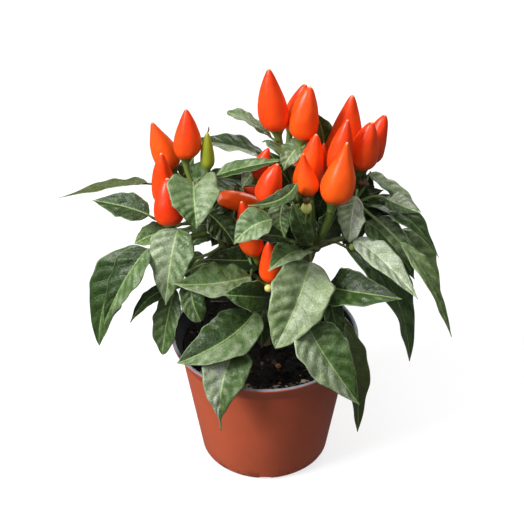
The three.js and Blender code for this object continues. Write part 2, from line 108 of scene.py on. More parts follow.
def leaf(stem, base, mid, tip, face, width, **looks):
    """One row of a leaf table. The stalk leaves the plant at stem and bends at bend, if that is given. The
    blade runs from base over mid to tip, its upper side looks along face, and width is its widest.

    Looks: tone from about -1 dark to 2 pale, half by how much the tone differs between the two halves of the
    blade, yellow and olive from 0 to 1, rise and fall how sharply the outline closes at the foot and at the
    tip, cordate 1 for a heart-shaped foot, drip 1 for a thread at the tip, and pucker how far the skin
    swells between its veins, as a share of the width."""
    # tone is partly the leaf's own green and partly painted light and shade: it is raised on leaves that lie
    # in shade and lowered on leaves deep in the plant. half paints light on one half of the blade and shade
    # on the other.
    row = {"bend": None, "tone": 0.0, "half": 0.0, "yellow": 0.0, "olive": 0.0, "rise": 0.7, "fall": 1.1,
           "cordate": 0.0, "drip": 0.0}
    row.update(stem=stem, base=base, mid=mid, tip=tip, face=face, width=width, **looks)
    return row


# Leaves that stand for a CAD node: leaf_left_1 and so on, in the order of these tables.
LEFT_LEAVES = [
    leaf((-40, -8, 196), (-72, 16, 192), (-92, 12, 192), (-126, 5, 188), (0, 0.28, 1), 18,
         bend=(-50, 20, 186), tone=-0.35, olive=0.8),
    leaf((-34, -8, 180), (-70, -8, 184), (-85, -3, 187), (-105, 4, 187), (-0.2, -0.5, 0.85), 18,
         bend=(-60, -2, 170), tone=-0.35),
    leaf((-30, -7, 170), (-70, -10, 159), (-95, -12, 134), (-105, -14, 90), (-0.35, -0.55, 0.75), 30,
         tone=0.12, half=0.3, fall=0.78, pucker=0.05),
    leaf((-26, -6, 161), (-70, -25, 171), (-84, -35, 155), (-98, -38, 124), (-0.5, -0.55, 0.7), 24,
         bend=(-44, -26, 156), tone=0.07, half=0.6, pucker=0.045),
    leaf((-36, -8, 185), (-52, -20, 182), (-56, -32, 169), (-60, -38, 139), (-0.2, -0.75, 0.65), 28,
         bend=(-45, -17, 178), tone=1, half=-0.2),
    leaf((-20, -6, 150), (-55, -20, 138), (-60, -28, 121), (-64, -30, 95), (-0.3, -0.7, 0.6), 18,
         tone=0.6, fall=0.7),
    leaf((-42, -8, 203), (-42, -20, 212), (-41, -33, 206), (-40, -40, 195), (0, -0.7, 0.7), 30,
         tone=0.8, half=0.2, cordate=1),
    leaf((-42, -8, 203), (-29, -10, 213), (-11, -10, 219), (8, -10, 223), (0, -0.2, 1), 13,
         tone=0.2, half=0.5),
]
TOP_LEAVES = [
    leaf((14, 10, 210), (4, 16, 224), (-10, 18, 234), (-23, 20, 239), (0.3, 0, 1), 14, tone=0.8, fall=0.5),
    leaf((14, 10, 210), (0, 12, 211), (-20, 11, 221), (-49, 10, 225), (0, 0, 1), 20, tone=0.5, half=0.6),
    leaf((18, 9, 196), (18, -30, 220), (8, -40, 215), (-10, -46, 215), (0.2, -0.3, 0.93), 10,
         bend=(21, -22, 190), tone=-0.25, half=0.4, olive=0.25),
]
FRONT_LEAVES = [
    leaf((-5, -13, 190), (4, -42, 203), (-8, -46, 200), (-18, -48, 190), (-0.3, -0.5, 0.8), 21,
         bend=(-1, -24, 186), tone=0.85, half=0.15),
    leaf((-10, -10, 156), (-9, -28, 153), (-30, -40, 156), (-54, -46, 160), (0, -0.35, 0.95), 27,
         bend=(-7, -14, 148), tone=0.75, half=0.25),
    leaf((7, -3, 107), (-6, -28, 127), (-24, -48, 120), (-53, -58, 110), (-0.15, -0.55, 0.85), 31,
         tone=0.3, half=0.6, fall=0.95),
    leaf((5, 0, 98), (-17, -40, 109), (-26, -63, 98), (-27, -66, 64), (0, -0.8, 0.6), 29,
         tone=1.05, half=-0.5, fall=1.4, drip=1),
    leaf((28, -2, 155), (27, -22, 159), (19, -48, 148), (6, -60, 123), (0.1, -0.65, 0.75), 36,
         bend=(28, -12, 151), tone=1.15, half=0.15, yellow=0.15, rise=0.5, fall=0.8, pucker=0.045),
    leaf((31, -2, 158), (24, -14, 162), (14, -34, 173), (2, -50, 172), (-0.3, -0.6, 0.75), 20,
         tone=0.75, half=0.2),
    leaf((14, -2, 121), (25, -46, 131), (36, -62, 118), (57, -72, 89), (0.2, -0.6, 0.8), 33,
         tone=0.7, half=-0.45),
    leaf((13, -2, 116), (42, -28, 126), (54, -48, 101), (58, -52, 51), (0.6, -0.6, 0.5), 19,
         bend=(30, -18, 132), tone=-0.25, olive=0.7, fall=0.85),
]
RIGHT_LEAVES = [
    leaf((55, 4, 186), (54, -10, 199), (52, -14, 187), (51, -12, 167), (-0.35, -0.7, 0.6), 18,
         tone=1.95, half=0.5, yellow=0.15, fall=0.85),
    leaf((52, -3, 166), (54, -12, 169), (71, -28, 164), (91, -46, 149), (0.1, -0.35, 0.95), 19,
         bend=(52, -9, 165), tone=1.6, pucker=0.05),
    leaf((42, -4, 163), (49, -6, 160), (78, -14, 134), (91, -24, 85), (0.5, -0.35, 0.75), 31,
         bend=(45, -6, 162), tone=0.4, fall=0.88),
    leaf((22, -1, 138), (38, -22, 141), (52, -38, 149), (81, -50, 152), (0.05, -0.6, 0.8), 26,
         tone=-0.45, half=-0.5),
    leaf((56, 6, 188), (62, 6, 204), (78, 5, 193), (95, 0, 181), (0.2, -0.1, 1), 15,
         bend=(61, 0, 199), tone=0.6, half=0.7),
    leaf((55, 4, 181), (62, 6, 182), (84, -2, 180), (106, -12, 156), (0.5, -0.2, 0.85), 23,
         tone=0.2, yellow=0.25, olive=0.3),
    leaf((55, 4, 180), (83, 6, 164), (96, -4, 151), (109, -13, 125), (0.6, -0.4, 0.7), 25,
         tone=0.85, yellow=0.3),
    leaf((56, 5, 184), (82, -15, 169), (98, -30, 152), (114, -38, 115), (0.6, -0.3, 0.75), 15,
         bend=(68, -8, 181), tone=0.8, yellow=0.2),
    leaf((53, -1, 170), (62, 0, 174), (77, -11, 165), (91, -21, 146), (0.2, -0.5, 0.85), 24,
         tone=0.6, half=0.3),
]
BACK_LEAVES = [
    leaf((6, 38, 190), (15, 48, 189), (13, 68, 189), (9, 88, 171), (0, 0.3, 1), 30, tone=0.1),
    leaf((12, 30, 172), (24, 42, 180), (42, 56, 180), (60, 68, 164), (0.3, 0.3, 0.9), 28, tone=-0.1),
    leaf((-24, 28, 172), (-34, 38, 176), (-52, 52, 174), (-70, 62, 158), (-0.3, 0.3, 0.9), 28, tone=0.2),
    leaf((19, 14, 152), (34, 28, 152), (50, 46, 148), (66, 60, 128), (0.4, 0.4, 0.8), 28, tone=-0.2),
    leaf((-18, 14, 148), (-28, 26, 150), (-44, 42, 142), (-58, 56, 120), (-0.4, 0.4, 0.8), 28),
    leaf((17, 17, 155), (8, 30, 150), (4, 50, 142), (0, 70, 116), (0, 0.6, 0.8), 30, tone=0.1),
]
# Smaller leaves that only the scene adds: small_leaf_1 and so on.
SMALL_LEAVES = [
    leaf((20, 6, 212), (24, 8, 226), (16, 2, 221), (11, -4, 213), (-0.3, -0.6, 0.75), 15, tone=0.9),
    leaf((29, -5, 161), (26, -12, 167), (21, -22, 188), (16, -28, 206), (-0.2, -0.9, 0.3), 13, tone=0.6),
    leaf((21, -8, 165), (11, -12, 196), (9, -18, 187), (12, -22, 177), (-0.2, -0.8, 0.5), 15, tone=0.8),
    leaf((55, 4, 184), (73, -2, 192), (81, -6, 190), (93, -10, 187), (0.1, -0.6, 1), 13, tone=0.9, half=0.6),
    leaf((-37, -8, 186), (-59, -2, 170), (-71, -4, 166), (-80, -6, 162), (0, -0.5, 0.9), 15,
         tone=0.5, yellow=0.2),
    leaf((-25, -8, 156), (-59, -16, 135), (-72, -18, 129), (-84, -18, 111), (-0.4, -0.6, 0.6), 10),
    leaf((-19, -8, 146), (-45, -26, 153), (-44, -36, 142), (-39, -40, 128), (0, -0.8, 0.5), 15,
         tone=0.3, half=-0.5, fall=0.6),
    leaf((9, -6, 127), (2, -36, 143), (-11, -50, 154), (-24, -54, 158), (0, -0.75, 0.65), 19, half=0.2),
    leaf((19, -5, 132), (38, -26, 141), (42, -36, 127), (47, -42, 107), (0.3, -0.8, 0.5), 13, tone=0.1),
    leaf((-37, -7, 184), (-34, -8, 185), (-26, -10, 177), (-18, -14, 166), (0.2, -0.7, 0.7), 20, tone=-0.7),
    leaf((-15, -5, 154), (-2, -8, 151), (-18, -14, 155), (-38, -20, 160), (0, -0.5, 0.9), 18, tone=-0.8),
    leaf((6, -6, 151), (15, -12, 168), (3, -14, 171), (-9, -18, 175), (0, -0.4, 0.9), 10, tone=-0.6),
    leaf((14, 10, 210), (24, 6, 230), (14, 4, 223), (3, 4, 229), (0, 0.5, -0.8), 10, tone=0.4, olive=0.5),
    leaf((14, 10, 208), (35, 22, 207), (35, 22, 222), (30, 22, 238), (0.2, -0.8, 0.4), 17, tone=0.1),
    leaf((55, 4, 183), (59, 6, 184), (71, 7, 178), (83, 7, 170), (0.2, -0.6, 0.8), 13, tone=-0.6),
    leaf((-42, -8, 203), (-50, 12, 199), (-47, 13, 205), (-43, 14, 212), (-0.2, -0.7, 0.6), 11, tone=-0.3),
    leaf((-42, -8, 203), (-36, 6, 202), (-20, 10, 198), (-4, 12, 192), (0, -0.4, 0.9), 14, tone=-0.5),
    leaf((14, 10, 210), (-4, 10, 208), (-9, 8, 202), (-14, 4, 196), (-0.2, -0.5, 0.8), 12, tone=0.9),
    leaf((-24, -6, 158), (-20, 4, 180), (-26, 2, 168), (-33, 0, 156), (-0.2, -0.6, 0.7), 17, tone=-0.6),
    leaf((-24, -6, 158), (-32, 6, 164), (-40, 2, 162), (-46, -2, 157), (-0.2, -0.5, 0.8), 13, tone=0.1),
    leaf((6, -1, 151), (12, -2, 141), (-10, -4, 152), (-36, -8, 154), (0, -0.5, 0.9), 20, tone=-0.6),
    leaf((31, -2, 157), (33, 6, 156), (42, 14, 165), (48, 16, 183), (0.2, -0.7, 0.6), 17, tone=-0.6),
    leaf((29, 1, 160), (29, 8, 153), (24, 14, 165), (20, 18, 183), (-0.2, -0.7, 0.6), 17, tone=-0.7),
    leaf((57, 8, 198), (58, 8, 188), (64, 8, 189), (72, 8, 192), (0, -0.6, 0.8), 9, tone=-0.5),
    leaf((55, 4, 181), (61, 8, 176), (72, 6, 177), (83, 4, 174), (0, -0.6, 0.8), 10, tone=-0.5),
    leaf((55, 4, 185), (62, 10, 185), (62, 11, 194), (64, 12, 203), (0.2, -0.8, 0.5), 9, tone=-0.4),
    leaf((13, -2, 118), (-1, -14, 122), (-2, -24, 114), (-2, -32, 102), (0, -0.9, 0.4), 19,
         tone=-0.1, olive=0.3),
    leaf((6, -14, 171), (11, -28, 181), (2, -36, 188), (-9, -40, 190), (-0.1, -0.5, 0.9), 13, tone=-0.6),
    leaf((-5, -10, 158), (-4, 10, 145), (-12, 14, 165), (-18, 16, 191), (-0.2, -0.7, 0.6), 26,
         bend=(-4, 2, 154), tone=-0.8),
    leaf((21, -8, 164), (16, 10, 142), (11, 16, 164), (4, 18, 190), (-0.1, -0.7, 0.6), 26,
         bend=(20, 4, 154), tone=-0.8),
    leaf((31, -2, 157), (36, 18, 144), (31, 20, 168), (29, 22, 194), (0.1, -0.7, 0.6), 26,
         bend=(33, 9, 155), tone=-0.8),
    leaf((-19, -6, 149), (-38, -4, 152), (-44, -6, 146), (-48, -10, 133), (-0.1, -0.7, 0.6), 13, tone=-0.6),
    leaf((-34, -8, 182), (-23, 8, 188), (-30, 6, 182), (-36, 2, 173), (-0.1, -0.7, 0.6), 16, tone=-0.3),
    leaf((6, -1, 148), (4, -2, 146), (-6, -6, 144), (-16, -10, 141), (-0.1, -0.6, 0.7), 16, tone=-0.7),
    leaf((14, 10, 208), (16, 9, 194), (10, 11, 204), (2, 12, 217), (-0.1, -0.7, 0.6), 17, tone=-0.2),
    leaf((29, 1, 154), (16, 8, 139), (22, 8, 148), (30, 8, 156), (0, -0.7, 0.6), 14, tone=-0.6),
    leaf((52, 1, 163), (48, 8, 156), (55, 8, 162), (64, 8, 177), (0, -0.7, 0.6), 15, tone=-0.5),
    leaf((-9, -4, 147), (-9, -6, 142), (-4, -10, 140), (2, -12, 132), (0, -0.7, 0.6), 12, tone=-0.6),
    leaf((-3, 1, 146), (-14, 8, 150), (-37, 20, 152), (-53, 28, 122), (-0.44, 0.23, 0.85), 25, tone=0.3),
    leaf((-2, 3, 124), (-8, 14, 128), (-20, 35, 134), (-29, 50, 108), (-0.25, 0.43, 0.85), 24),
    leaf((0, 3, 114), (1, 14, 118), (3, 38, 124), (4, 55, 100), (0.03, 0.5, 0.85), 24, tone=0.2),
    leaf((2, 2, 128), (9, 13, 132), (24, 35, 138), (27, 51, 118), (0.28, 0.41, 0.85), 25, tone=0.1),
    leaf((3, 1, 146), (16, 8, 150), (40, 19, 153), (50, 24, 140), (0.45, 0.22, 0.85), 24, tone=0.35),
    leaf((-1, 3, 154), (-4, 18, 158), (-9, 43, 163), (-13, 63, 134), (-0.1, 0.49, 0.85), 25, tone=0.25),
    leaf((1, 3, 164), (7, 19, 168), (16, 43, 172), (21, 58, 146), (0.17, 0.47, 0.85), 24, tone=0.4),
    leaf((-2, 2, 172), (-14, 14, 176), (-32, 31, 180), (-43, 42, 156), (-0.36, 0.35, 0.85), 22, tone=0.2),
    leaf((55, 4, 185), (56, 8, 180), (58, 9, 191), (61, 10, 204), (0.1, -0.8, 0.5), 12, tone=-0.5),
    leaf((55, 4, 181), (60, 9, 179), (64, 8, 174), (70, 6, 169), (0.1, -0.7, 0.6), 10, tone=-0.5),
]

# Fruits: name, where the stalk leaves, shoulder, tip, diameter, ripeness from orange 0 to red 1, bow
# sideways, and how early the taper draws in, from 0.3 late to 2.2 early.
FRUITS = [
    ("fruit_left_1", (-42, -8, 203), (-57, 18, 202), (-68, 19, 233), 16.5, 0.12, 0.6, 1.5),
    ("fruit_left_2", (-42, -8, 203), (-47, -3, 222), (-46, -1, 253), 16.5, 0.55, -0.8, 1.35),
    ("fruit_left_3", (-38, -8, 190), (-59, 4, 185), (-62, 3, 221), 15.5, 0.55, 1.2, 1.15),
    ("fruit_left_4", (-31, -7, 173), (-57, -16, 183), (-58, -11, 212), 18, 0.8, 0.4, 0.95),
    ("fruit_left_5", (-42, -8, 203), (-34, -4, 215), (-34, -2, 238), 8.5, 0, 0.3, 0.95),
    ("fruit_top_1", (14, 10, 210), (7, 9, 234), (2, 11, 273), 18, 0.6, 1, 1.25),
    ("fruit_top_2", (14, 10, 210), (16, 27, 224), (24, 28, 254), 15.5, 0.55, -0.4, 1),
    ("fruit_top_3", (14, 10, 210), (22, 6, 230), (26, 8, 263), 18, 0.4, 0.6, 0.95),
    ("fruit_right_1", (55, 4, 183), (43, 20, 198), (52, 22, 250), 22, 0.45, -1.4, 1.26),
    ("fruit_right_2", (55, 4, 180), (44, -5, 211), (48, -3, 247), 16, 0.6, 0.8, 1.18),
    ("fruit_right_3", (57, 8, 198), (63, 19, 206), (72, 21, 237), 15, 0.65, 0.6, 0.96),
    ("fruit_right_4", (57, 8, 198), (57, 5, 210), (63, 5, 241), 17.5, 0.6, 0.3, 1),
    ("fruit_right_5", (31, -2, 160), (40, -25, 205), (47, -24, 244), 20.5, 0.15, -0.8, 2),
    ("fruit_middle_1", (29, 1, 168), (26, -20, 207), (22, -20, 234), 13.5, 0.25, 0.4, 2.2),
    ("fruit_middle_2", (27, 4, 176), (23, -4, 199), (30, -4, 238), 17.5, 0.35, -0.9, 1.11),
    ("fruit_middle_3", (22, 7, 188), (34, 9, 201), (35, 9, 224), 9.5, 0.5, 0.2, 1.11),
    ("fruit_middle_4", (14, 10, 210), (-5, -1, 207), (2, -1, 227), 10, 0.6, 0.2, 1.11),
    ("fruit_front_1", (-5, -13, 190), (0, -24, 204), (7, -23, 229), 15.5, 0.7, 0.3, 0.96),
    ("fruit_front_2", (24, 6, 184), (-4, 5, 180), (-28, -5, 195), 13, 0.1, -1, 0.3),
    ("fruit_front_3", (-9, -11, 161), (-6, -24, 167), (-14, -24, 204), 14.5, 0.5, 0.8, 1.11),
    ("fruit_front_4", (-11, -8, 147), (4, -29, 151), (2, -29, 179), 14.5, 0.45, -0.4, 1.11),
    ("fruit_back_1", (15, 23, 163), (-5, 36, 162), (-11, 42, 190), 16, 0.6, 0.5, 1.11),
    ("fruit_back_2", (9, 34, 181), (24, 32, 184), (28, 36, 213), 16, 0.4, -0.5, 1.11),
]
UNRIPE = "fruit_left_5"


# ---- Curves ----
def bezier(start, control, end, t):
    """A point on the curve that leaves start towards control and ends at end."""
    return (1 - t) ** 2 * start + 2 * t * (1 - t) * control + t * t * end


def through(base, mid, tip, t):
    """A parabola through three points, and its direction at t."""
    control = 2 * mid - 0.5 * (base + tip)
    direction = 2 * (1 - t) * (control - base) + 2 * t * (tip - control)
    return bezier(base, control, tip, t), direction.normalized()


def stalk_points(stem, base, line_of_base, bend, count):
    """The stalk bends from its branch into the line of what it carries."""
    stem = Vector(stem)
    if bend is None:
        bend = base - line_of_base * (0.45 * (base - stem).length)
    return [bezier(stem, Vector(bend), base, step / (count - 1)) for step in range(count)]


def smooth_path(points, per_span):
    """A Catmull-Rom curve through points."""
    points = [Vector(p) for p in points]
    ends = [2 * points[0] - points[1], *points, 2 * points[-1] - points[-2]]
    path = []
    for index in range(1, len(ends) - 2):
        p0, p1, p2, p3 = ends[index - 1:index + 3]
        for step in range(per_span):
            t = step / per_span
            path.append(0.5 * (2 * p1 + (p2 - p0) * t + (2 * p0 - 5 * p1 + 4 * p2 - p3) * t * t
                               + (3 * p1 - p0 - 3 * p2 + p3) * t ** 3))
    path.append(points[-1])
    return path


def tangents_of(path):
    last = len(path) - 1
    return [(path[min(i + 1, last)] - path[max(i - 1, 0)]).normalized() for i in range(last + 1)]


def tapered(start, end, count):
    """Radii from start to end in equal steps."""
    return [start + (end - start) * i / (count - 1) for i in range(count)]


# The side from which rings are numbered: towards the viewer, a little to the right and up.
RING_START = (0.1, -1, 0.15)


def frames_along(tangents, wanted=RING_START, start=0):
    """Directions over and across a curve, carried along it without twist from the start index."""
    frames = [None] * len(tangents)

    def place(index, hint):
        over = (hint - hint.dot(tangents[index]) * tangents[index]).normalized()
        frames[index] = (over, over.cross(tangents[index]).normalized())

    place(start, Vector(wanted))
    for index in range(start + 1, len(tangents)):
        place(index, frames[index - 1][0])
    for index in range(start - 1, -1, -1):
        place(index, frames[index + 1][0])
    return frames


def angles(count):
    return [2 * math.pi * index / count for index in range(count)]


def directions(over, across, count):
    """The angle and the direction of each point of a ring."""
    return [(angle, math.cos(angle) * across + math.sin(angle) * over) for angle in angles(count)]


def level_ring(radius, height, count):
    """A ring round the pot's axis."""
    return [Vector((radius * math.cos(a), radius * math.sin(a), height)) for a in angles(count)]


# ---- Mesh building ----
class Shape:
    """Points, faces and per-point values gathered for one object."""

    def __init__(self):
        self.points, self.faces, self.slots = [], [], []
        self.values = {}

    def value(self, name, items):
        """Sets a value on the points added last. Points without one get zeros."""
        row = self.values.setdefault(name, [])
        row.extend([(0.0, 0.0, 0.0)] * (len(self.points) - len(items) - len(row)))
        row.extend(items)

    def loft(self, rings, slot=0, ends=None):
        """Closed skin over rings with the same number of points, with a fan of faces at each end. slot is
        a material index, or a list of one for each span and fan. ends holds the middles of the fans."""
        first, sides = len(self.points), len(rings[0])
        slots = slot if isinstance(slot, list) else [slot] * (len(rings) + 1)
        for ring in rings:
            self.points.extend(ring)
        for row in range(len(rings) - 1):
            for side in range(sides):
                a, b = first + row * sides + side, first + row * sides + (side + 1) % sides
                self.add_face((a, b, b + sides, a + sides), slots[row + 1])
        middles = ends or [sum(ring, Vector()) / sides for ring in (rings[0], rings[-1])]
        last = first + (len(rings) - 1) * sides
        for end, start, turn in ((0, first, -1), (-1, last, 1)):
            self.points.append(middles[end])
            for side in range(sides):
                pair = (start + side, start + (side + 1) % sides)
                self.add_face((len(self.points) - 1, *pair[::turn]), slots[end])

    def add_face(self, corners, slot):
        self.faces.append(corners)
        self.slots.append(slot)

    def tube(self, path, radii, sides, slot=0):
        frames = frames_along(tangents_of(path))
        self.loft([[at + radius * way for _, way in directions(*frame, sides)]
                   for at, radius, frame in zip(path, radii, frames)], slot)

    def lump(self, centre, size, squash, seed, slot=0, sides=7, rows=5, rough=0.35):
        """A small closed irregular lump."""
        def point(polar, angle):
            out = math.sin(polar)
            way = Vector((out * math.cos(angle), out * math.sin(angle), -math.cos(polar)))
            swell = 1 + rough * noise.noise(way * 1.3 + Vector((seed, 0, 0)))
            return Vector(centre) + Vector(w * s for w, s in zip(way, squash)) * (size * swell)

        self.loft([[point(math.pi * row / rows, angle) for angle in angles(sides)]
                   for row in range(1, rows)], slot)

    def build(self, name, materials, slot_name, replaced=None):
        """Makes the object. Without a slot name it stays off the plant, for the studio."""
        mesh = bpy.data.meshes.new(name)
        mesh.from_pydata([tuple(p * MM) for p in self.points], [], self.faces)
        for key, items in self.values.items():
            items = items + [(0.0, 0.0, 0.0)] * (len(self.points) - len(items))
            attribute = mesh.attributes.new(key, "FLOAT_VECTOR", "POINT")
            attribute.data.foreach_set("vector", [c for item in items for c in item])
        for material in materials:
            mesh.materials.append(material)
        mesh.polygons.foreach_set("material_index", self.slots)
        mesh.polygons.foreach_set("use_smooth", [True] * len(mesh.polygons))
        mesh.update()
        piece = bpy.data.objects.new(name, mesh)
        SCENE.collection.objects.link(piece)
        if slot_name is not None:
            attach(piece, "root")
            if replaced:
                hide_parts(replaced)
        return piece


def apply_modifiers(piece):
    graph = bpy.context.evaluated_depsgraph_get()
    mesh = bpy.data.meshes.new_from_object(piece.evaluated_get(graph))
    old = piece.data
    piece.modifiers.clear()
    piece.data = mesh
    mesh.name = old.name + "_mesh"
    bpy.data.meshes.remove(old)


# ---- Materials ----
class Signal:
    """An output of a shader node that can be added, taken away and multiplied like a number."""

    def __init__(self, graph, socket):
        self.graph, self.socket = graph, socket

    def __add__(self, other):
        return self.graph.math("ADD", self, other)

    def __sub__(self, other):
        return self.graph.math("SUBTRACT", self, other)

    def __mul__(self, other):
        return self.graph.math("MULTIPLY", self, other)


class Graph:
    """A Principled material whose nodes are added by short calls."""

    def __init__(self, name):
        self.material = bpy.data.materials.new(name)
        self.material.use_nodes = True
        self.tree = self.material.node_tree
        self.shader = self.tree.nodes["Principled BSDF"]

    def node(self, kind, settings=None, output=0, **inputs):
        """Adds a node and returns one of its outputs. Inputs go by name, or by number as _0, _1 and on."""
        made = self.tree.nodes.new("ShaderNode" + kind)
        for key, value in (settings or {}).items():
            setattr(made, key, value)
        for key, value in inputs.items():
            self.put(made.inputs[int(key[1:])] if key[0] == "_" else made.inputs[key], value)
        return Signal(self, made.outputs[output])

    def put(self, socket, value):
        if isinstance(value, Signal):
            self.tree.links.new(value.socket, socket)
        else:
            socket.default_value = value

    def math(self, operation, *values):
        return self.node("Math", {"operation": operation}, **{f"_{i}": v for i, v in enumerate(values)})

    def remap(self, value, low, high, to_low=0.0, to_high=1.0):
        """A soft step from to_low at low to to_high at high."""
        return self.node("MapRange", {"interpolation_type": "SMOOTHSTEP"},
                         _0=value, _1=low, _2=high, _3=to_low, _4=to_high)

    def mix(self, share, a, b, blend="MIX"):
        a, b = ((*colour, 1.0) if isinstance(colour, tuple) else colour for colour in (a, b))
        return self.node("Mix", {"data_type": "RGBA", "blend_type": blend}, 2, _0=share, _6=a, _7=b)

    @cached_property
    def place(self):
        """Object coordinates, in metres."""
        return self.node("TexCoord", output="Object")

    def noise(self, scale, detail, rough, squeeze=None):
        """Noise over the object, drawn out along the axes where squeeze is below 1."""
        vector = self.node("Mapping", Vector=self.place, Scale=squeeze) if squeeze else self.place
        return self.node("TexNoise", Scale=scale, Detail=detail, Roughness=rough, Vector=vector)

    def split(self, vector):
        return [Signal(self, part) for part in self.node("SeparateXYZ", _0=vector).socket.node.outputs]

    def values(self, name):
        """The three parts of a value that a Shape carries."""
        return self.split(self.node("Attribute", {"attribute_name": name}, "Vector"))

    def bump(self, height, strength, distance, under=None):
        more = {} if under is None else {"Normal": under}
        return self.node("Bump", Strength=strength, Distance=distance, Height=height, **more)

    def finish(self, colour, roughness, normal=None, **sockets):
        """Feeds the shader. Constants go straight onto its sockets, named with underscores for spaces."""
        self.put(self.shader.inputs["Base Color"], colour)
        self.put(self.shader.inputs["Roughness"], roughness)
        if normal is not None:
            self.put(self.shader.inputs["Normal"], normal)
        for key, value in sockets.items():
            self.shader.inputs[key.replace("_", " ")].default_value = value
        return self.material


# Side veins of a leaf, in its shape and its colour alike: how many, how far each runs on towards the tip, the
# power of its bow, and how far those of one half lie ahead of the other's, as a share of their spacing.
VEINS, VEIN_RUN, VEIN_BOW, VEIN_LEAD = 7.0, 0.2, 1.3, 0.45


def leaf_material():
    """Leaf skin. blade holds the place along and across the blade and the distance from its rib in mm, look
    holds 1 on the lower side, the tone, and the tint from olive -1 to yellow 1."""
    g = Graph("pepper_leaf")
    along, across, from_rib = g.values("blade")
    under, tone, tint = g.values("look")
    side = g.math("ABSOLUTE", across)
    phase = (along - g.math("POWER", side, VEIN_BOW) * VEIN_RUN) * VEINS
    phase = phase + g.math("GREATER_THAN", across, 0) * VEIN_LEAD
    from_vein = g.math("ABSOLUTE", g.math("FRACT", phase) - 0.5)
    vein = g.remap(from_vein, 0.455, 0.5) * g.remap(side, 0.98, 0.3, 0.15, 1)
    rib = g.remap(from_rib, 0.62, 0.2)
    margin = g.remap(side, 0.925, 0.96)
    patches = g.remap(g.noise(130, 5, 0.62), 0.33, 0.67)
    speckle = g.noise(900, 3, 0.6)
    net = g.node("TexVoronoi", {"feature": "DISTANCE_TO_EDGE"}, Vector=g.place, Scale=520)
    net_line = g.remap(net, 0.12, 0)
    mottle = g.remap(g.noise(1500, 2, 0.7), 0.36, 0.64)
    # Upper face: dark to pale green by tone, broken up by patches. The tone carries painted light and shade,
    # and the palest stop of the ramp, a grey-green, is painted sheen.
    level = tone * 0.35 + g.remap(patches, 0, 1, 0.17, 0.32)
    # Painted light and shade on the swellings between the side veins: a little lighter on one side of each
    # vein and darker on the other.
    level = level + g.math("SINE", phase * (2 * math.pi)) * g.remap(side, 0, 0.25) * 0.05
    ramp = g.node("ValToRGB", _0=level)
    stops = ramp.socket.node.color_ramp.elements
    stops[0].position, stops[0].color = 0, (0.008, 0.02, 0.003, 1)
    stops[1].position, stops[1].color = 1, (0.43, 0.475, 0.38, 1)
    for position, colour in ((0.27, (0.02, 0.05, 0.006, 1)), (0.48, (0.066, 0.114, 0.034, 1)),
                             (0.7, (0.215, 0.27, 0.155, 1))):
        stops.new(position).color = colour
    yellow = g.math("MAXIMUM", tint, 0)
    olive = g.math("MAXIMUM", tint * -1, 0)
    body = g.mix(yellow * g.remap(side, 0.1, 1, 0.35, 1), ramp, (0.2, 0.3, 0.05))
    body = g.mix(olive, body, (0.055, 0.072, 0.018))
    body = g.mix(speckle * 0.7, body, (0.5, 0.54, 0.42), "MULTIPLY")
    body = g.mix(mottle * 0.75, body, (2, 1.85, 2.2), "MULTIPLY")
    body = g.mix(net_line * 0.19, body, (0.14, 0.22, 0.08))
    body = g.mix(vein * g.remap(tone, -0.8, 0.5, 0.1, 0.38), body, (0.13, 0.19, 0.07))
    body = g.mix(rib * 0.75, body, (0.19, 0.25, 0.085), "ADD")
    upper = g.mix(margin * 0.6, body, (0.32, 0.42, 0.22))
    # Lower face: paler, with the veins showing.
    lower = g.mix(patches, (0.085, 0.15, 0.05), (0.15, 0.23, 0.09))
    lower = g.mix(vein * 0.6, lower, (0.25, 0.35, 0.15))
    lower = g.mix(olive, lower, (0.12, 0.12, 0.04))
    rough = speckle * 0.16 + under * 0.14 + (patches * 0.14 + 0.28)
    relief = net * 0.5 - vein * 0.45 + speckle * 0.5
    normal = g.bump(g.noise(190, 2, 0.5), 0.55, 0.0012)
    normal = g.bump(relief, 0.75, 0.0006, normal)
    return g.finish(g.mix(under, upper, lower), rough, normal, IOR=1.45, Specular_IOR_Level=0.42)


def stalk_material(name, pale, deep, brown):
    """Green stalk tissue with streaks along it and brown scars."""
    g = Graph(name)
    streaks = g.noise(260, 4, 0.6, (1, 1, 0.25))
    scars = g.remap(g.noise(170, 5, 0.65), 0.55, 0.68)
    colour = g.mix(streaks, deep, pale)
    colour = g.mix(scars * brown, colour, (0.1, 0.062, 0.028))
    normal = g.bump(g.noise(700, 3, 0.6), 0.4, 0.0004)
    return g.finish(colour, g.remap(streaks, 0.3, 0.7, 0.42, 0.6), normal)


def bark_material():
    """Olive green stem that turns woody, beige and cracked towards its foot."""
    g = Graph("pepper_bark")
    height = g.split(g.place)[2]
    lengthwise = (1, 1, 0.2)
    streaks = g.noise(330, 5, 0.65, lengthwise)
    patches = g.noise(85, 3, 0.6)
    woody = g.remap(g.remap(height, 0.175, 0.12) + patches * 0.5, 0.35, 0.95)
    green = g.mix(streaks, (0.03, 0.048, 0.012), (0.13, 0.16, 0.05))
    wood = g.mix(streaks, (0.05, 0.035, 0.02), (0.21, 0.17, 0.1))
    cracks = g.remap(g.noise(240, 6, 0.7, lengthwise), 0.6, 0.7)
    colour = g.mix(cracks * 0.8, g.mix(woody, green, wood), (0.045, 0.028, 0.014))
    relief = streaks - cracks * 0.6
    return g.finish(colour, g.remap(woody, 0, 1, 0.48, 0.78), g.bump(relief, 0.7, 0.0008))


